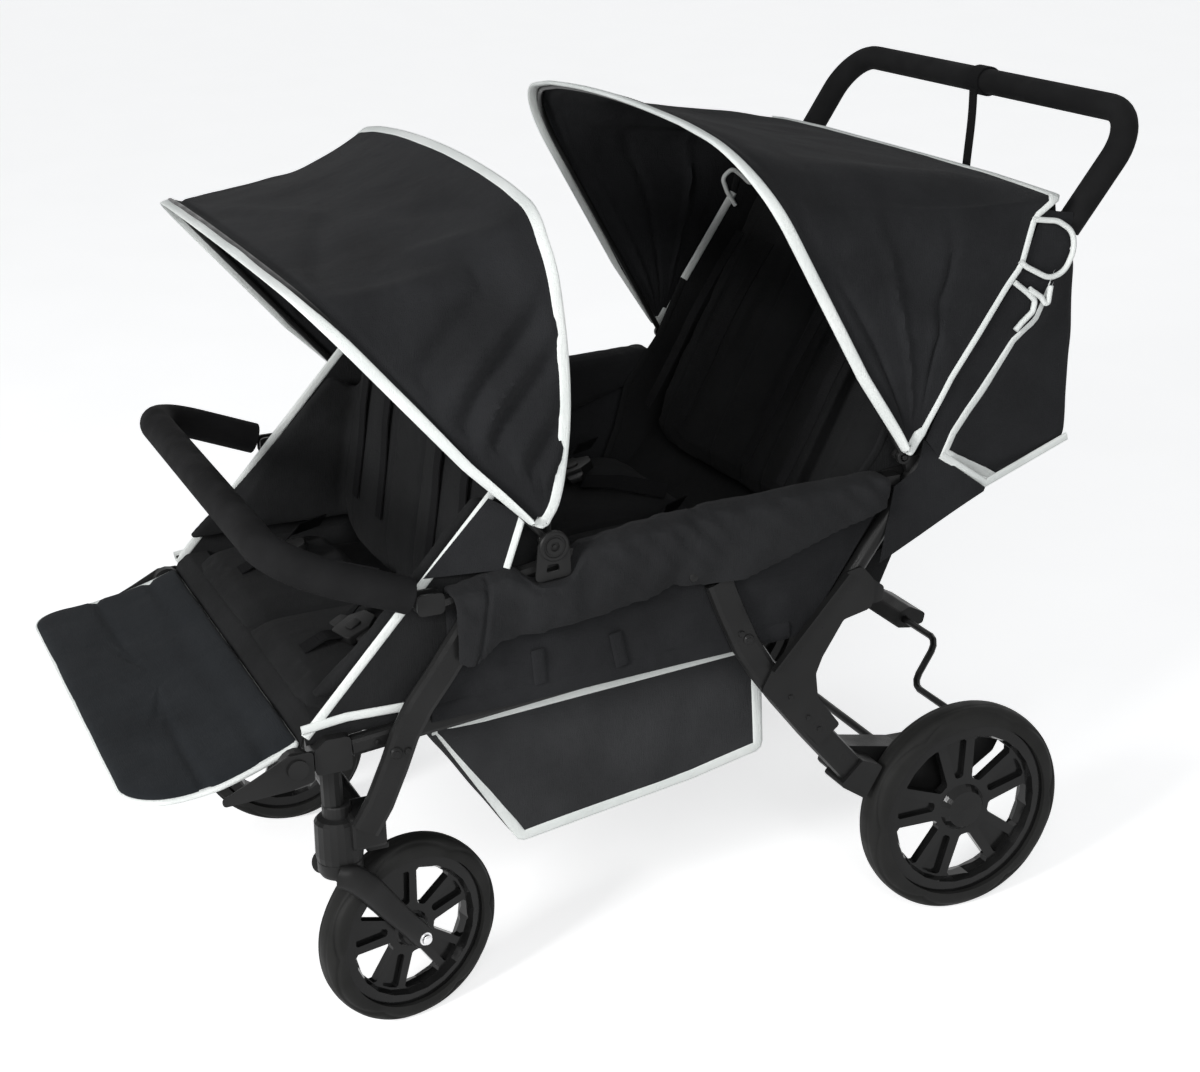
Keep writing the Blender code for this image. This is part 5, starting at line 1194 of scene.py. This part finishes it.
def build_fork(label, place):
    """Moulded fork: a crown under the steering head and a thick round arm down each side of the wheel."""
    crown = [(NEAR_AXIS, 0.2472), (0.0262, 0.2472), (0.0275, 0.2458), (0.0275, 0.2330), (0.0240, 0.2270),
             (NEAR_AXIS, 0.2262)]
    pieces = [turned("fork_crown_" + label, crown, 48, PLASTIC)]
    sizes = (1.05, 1.16, 1.18, 1.08, 0.98, 1.02, 0.96)
    for end in (1, -1):
        arm_x = end * FORK_ARM_X
        route = [Vector(point) for point in (
            (end * 0.018, -0.012, 0.2345), (end * 0.030, 0.000, 0.2310), (arm_x, 0.019, 0.2110),
            (arm_x, 0.044, 0.1770), (arm_x, 0.068, 0.1460), (arm_x, *FRONT_AXLE), (arm_x, 0.0905, 0.1170))]
        path = rounded(route, 0.018, 8)
        heights = [point.z for point in reversed(route)]
        arm = rod("fork_arm_%s_%d" % (label, end + 1), path, 0.0146, PLASTIC, 24,
                  [np.interp(spot.z, heights, sizes[::-1]) for spot in path])
        squeeze = Matrix.Translation((arm_x, 0, 0)) @ Matrix.Diagonal((0.58, 1, 1, 1))
        arm.data.transform(squeeze @ Matrix.Translation((-arm_x, 0, 0)))
        pieces.append(arm)
    axle = [(NEAR_AXIS, 0.0412), (0.0042, 0.0412), (0.0045, 0.0408),
            (0.0045, -0.0408), (0.0042, -0.0412), (NEAR_AXIS, -0.0412)]
    pieces.append(turned("fork_axle_" + label, axle, 24, STEEL, sideways(0.0, FRONT_AXLE)))
    made = joined("fork_" + label, pieces)
    made.data.transform(place)
    hang("caster_" + label, made)
    stand_in("caster_fork_" + label)


def build_bars():
    """Bumper, handle tube with its canopy lugs, foam grip and collars."""
    start, front = [(BUMPER_PIVOT[0] - reach * math.cos(BUMPER_RISE),
                     BUMPER_PIVOT[1] + reach * math.sin(BUMPER_RISE)) for reach in (0.024, 0.186)]
    route = [(-TUBE_X, *start), (-TUBE_X, *front), (TUBE_X, *front), (TUBE_X, *start)]
    bumper = rod("bumper_foam", spread(rounded(route, 0.085, 14), 120), 0.0218, FOAM, 24)
    hang("bumper", bumper)
    stand_in("bumper_bar")

    low, mid, top = on_handle(0.0), on_handle(HANDLE_BEND), on_handle(HANDLE_REACH)
    loop = [(-TUBE_X, *mid), (-HANDLE_TOP_X, *top), (HANDLE_TOP_X, *top), (TUBE_X, *mid)]
    route = [(-TUBE_X, *low), *loop, (TUBE_X, *low)]
    pieces = [rod("handle_frame", rounded(route, [0, 0.05, 0.062, 0.062, 0.05, 0], 12), 0.0115, STEEL, 20)]
    lug = outline_of([on_handle(0.2771 + along, aside) for along, aside in (
        (-0.013, 0.0), (-0.013, 0.012), (-0.007, 0.020), (-0.007, 0.0427),
        (0.007, 0.0427), (0.007, 0.020), (0.013, 0.012), (0.013, 0.0))], 0.003)
    pin_shape = [(NEAR_AXIS, 0.0125), (0.0030, 0.0125), (0.0035, 0.0120), (0.0035, -0.0120),
                 (0.0030, -0.0125), (NEAR_AXIS, -0.0125)]
    for side, label in SIDES:
        pieces.append(block("lug_" + label, lug, side * TUBE_X, 0.009, STEEL, 0.001, 2))
        pieces.append(turned("lug_pin_" + label, pin_shape, 20, STEEL, sideways(side * 0.3515, REAR_HUB)))
    tube = joined("handle_frame", pieces)
    hang("handle", tube)
    stand_in("handle_tube")
    grip = rod("handle_foam", spread(rounded(loop, 0.062, 14), 120), 0.0172, FOAM, 24)
    hang("handle", grip)
    stand_in("handle_grip")
    for side, label in SIDES:
        path = [(side * TUBE_X, *on_handle(reach)) for reach in (0.604, 0.632)]
        hang("handle", rod("grip_collar_" + label, spread(path, 6), 0.0142, PLASTIC, 24))


def build_tyre(node, body, radius, inner, width, place):
    """A solid tyre with a rounded tread and six scalloped grooves on each shoulder."""
    steps, half = 168, width / 2.0
    ring = []
    for part in np.linspace(0.0, 1.0, 41):
        angle = math.pi * (part - 0.5)
        bulge = abs(math.cos(angle)) ** 0.62
        shoulder = math.copysign(abs(math.sin(angle)) ** 0.72, angle)
        ring.append((inner + (radius - inner) * bulge, half * shoulder))
    verts = []
    for r, x in ring:
        for k in range(steps):
            turn = 2.0 * math.pi * k / steps
            line = inner + (radius - inner) * (0.40 + 0.42 * abs(math.sin(3.0 * turn)) ** 0.8)
            dip = 0.0022 * math.exp(-((r - line) / 0.0018) ** 2) * (abs(x) > half * 0.6)
            rib = 0.0006 * math.exp(-((abs(x) - half * 0.36) / 0.0016) ** 2) * (r > radius - 0.006)
            verts.append((x - math.copysign(dip, x), (r - rib) * math.cos(turn), (r - rib) * math.sin(turn)))
    faces = grid_faces(len(ring), steps, True, True)
    made = settled(mesh_piece(node + "_rubber", verts, faces, RUBBER, place), 60.0)
    hang(body, made)
    stand_in(node)


def build_tyres():
    for side, label in SIDES:
        build_tyre("rear_tyre_" + label, "rear_wheel_" + label, 0.1456, 0.1210, 0.045,
                   Matrix.Translation((side * 0.3575, *REAR_AXLE)))
        build_tyre("front_tyre_" + label, "front_wheel_" + label, 0.1214, 0.0990, 0.042,
                   caster_place(side) @ Matrix.Translation((0, *FRONT_AXLE)))


dress_nodes()
build_bars()
build_tyres()
build_camera()
build_studio()
build_bows()
build_front_canopy()
build_rear_canopy()
build_rear_panel()
build_seats()
build_harness()
build_armrest_covers()
build_side_panels()
build_basket()
build_foot_well()
build_footrest()
build_handle_strap()
build_hardware()
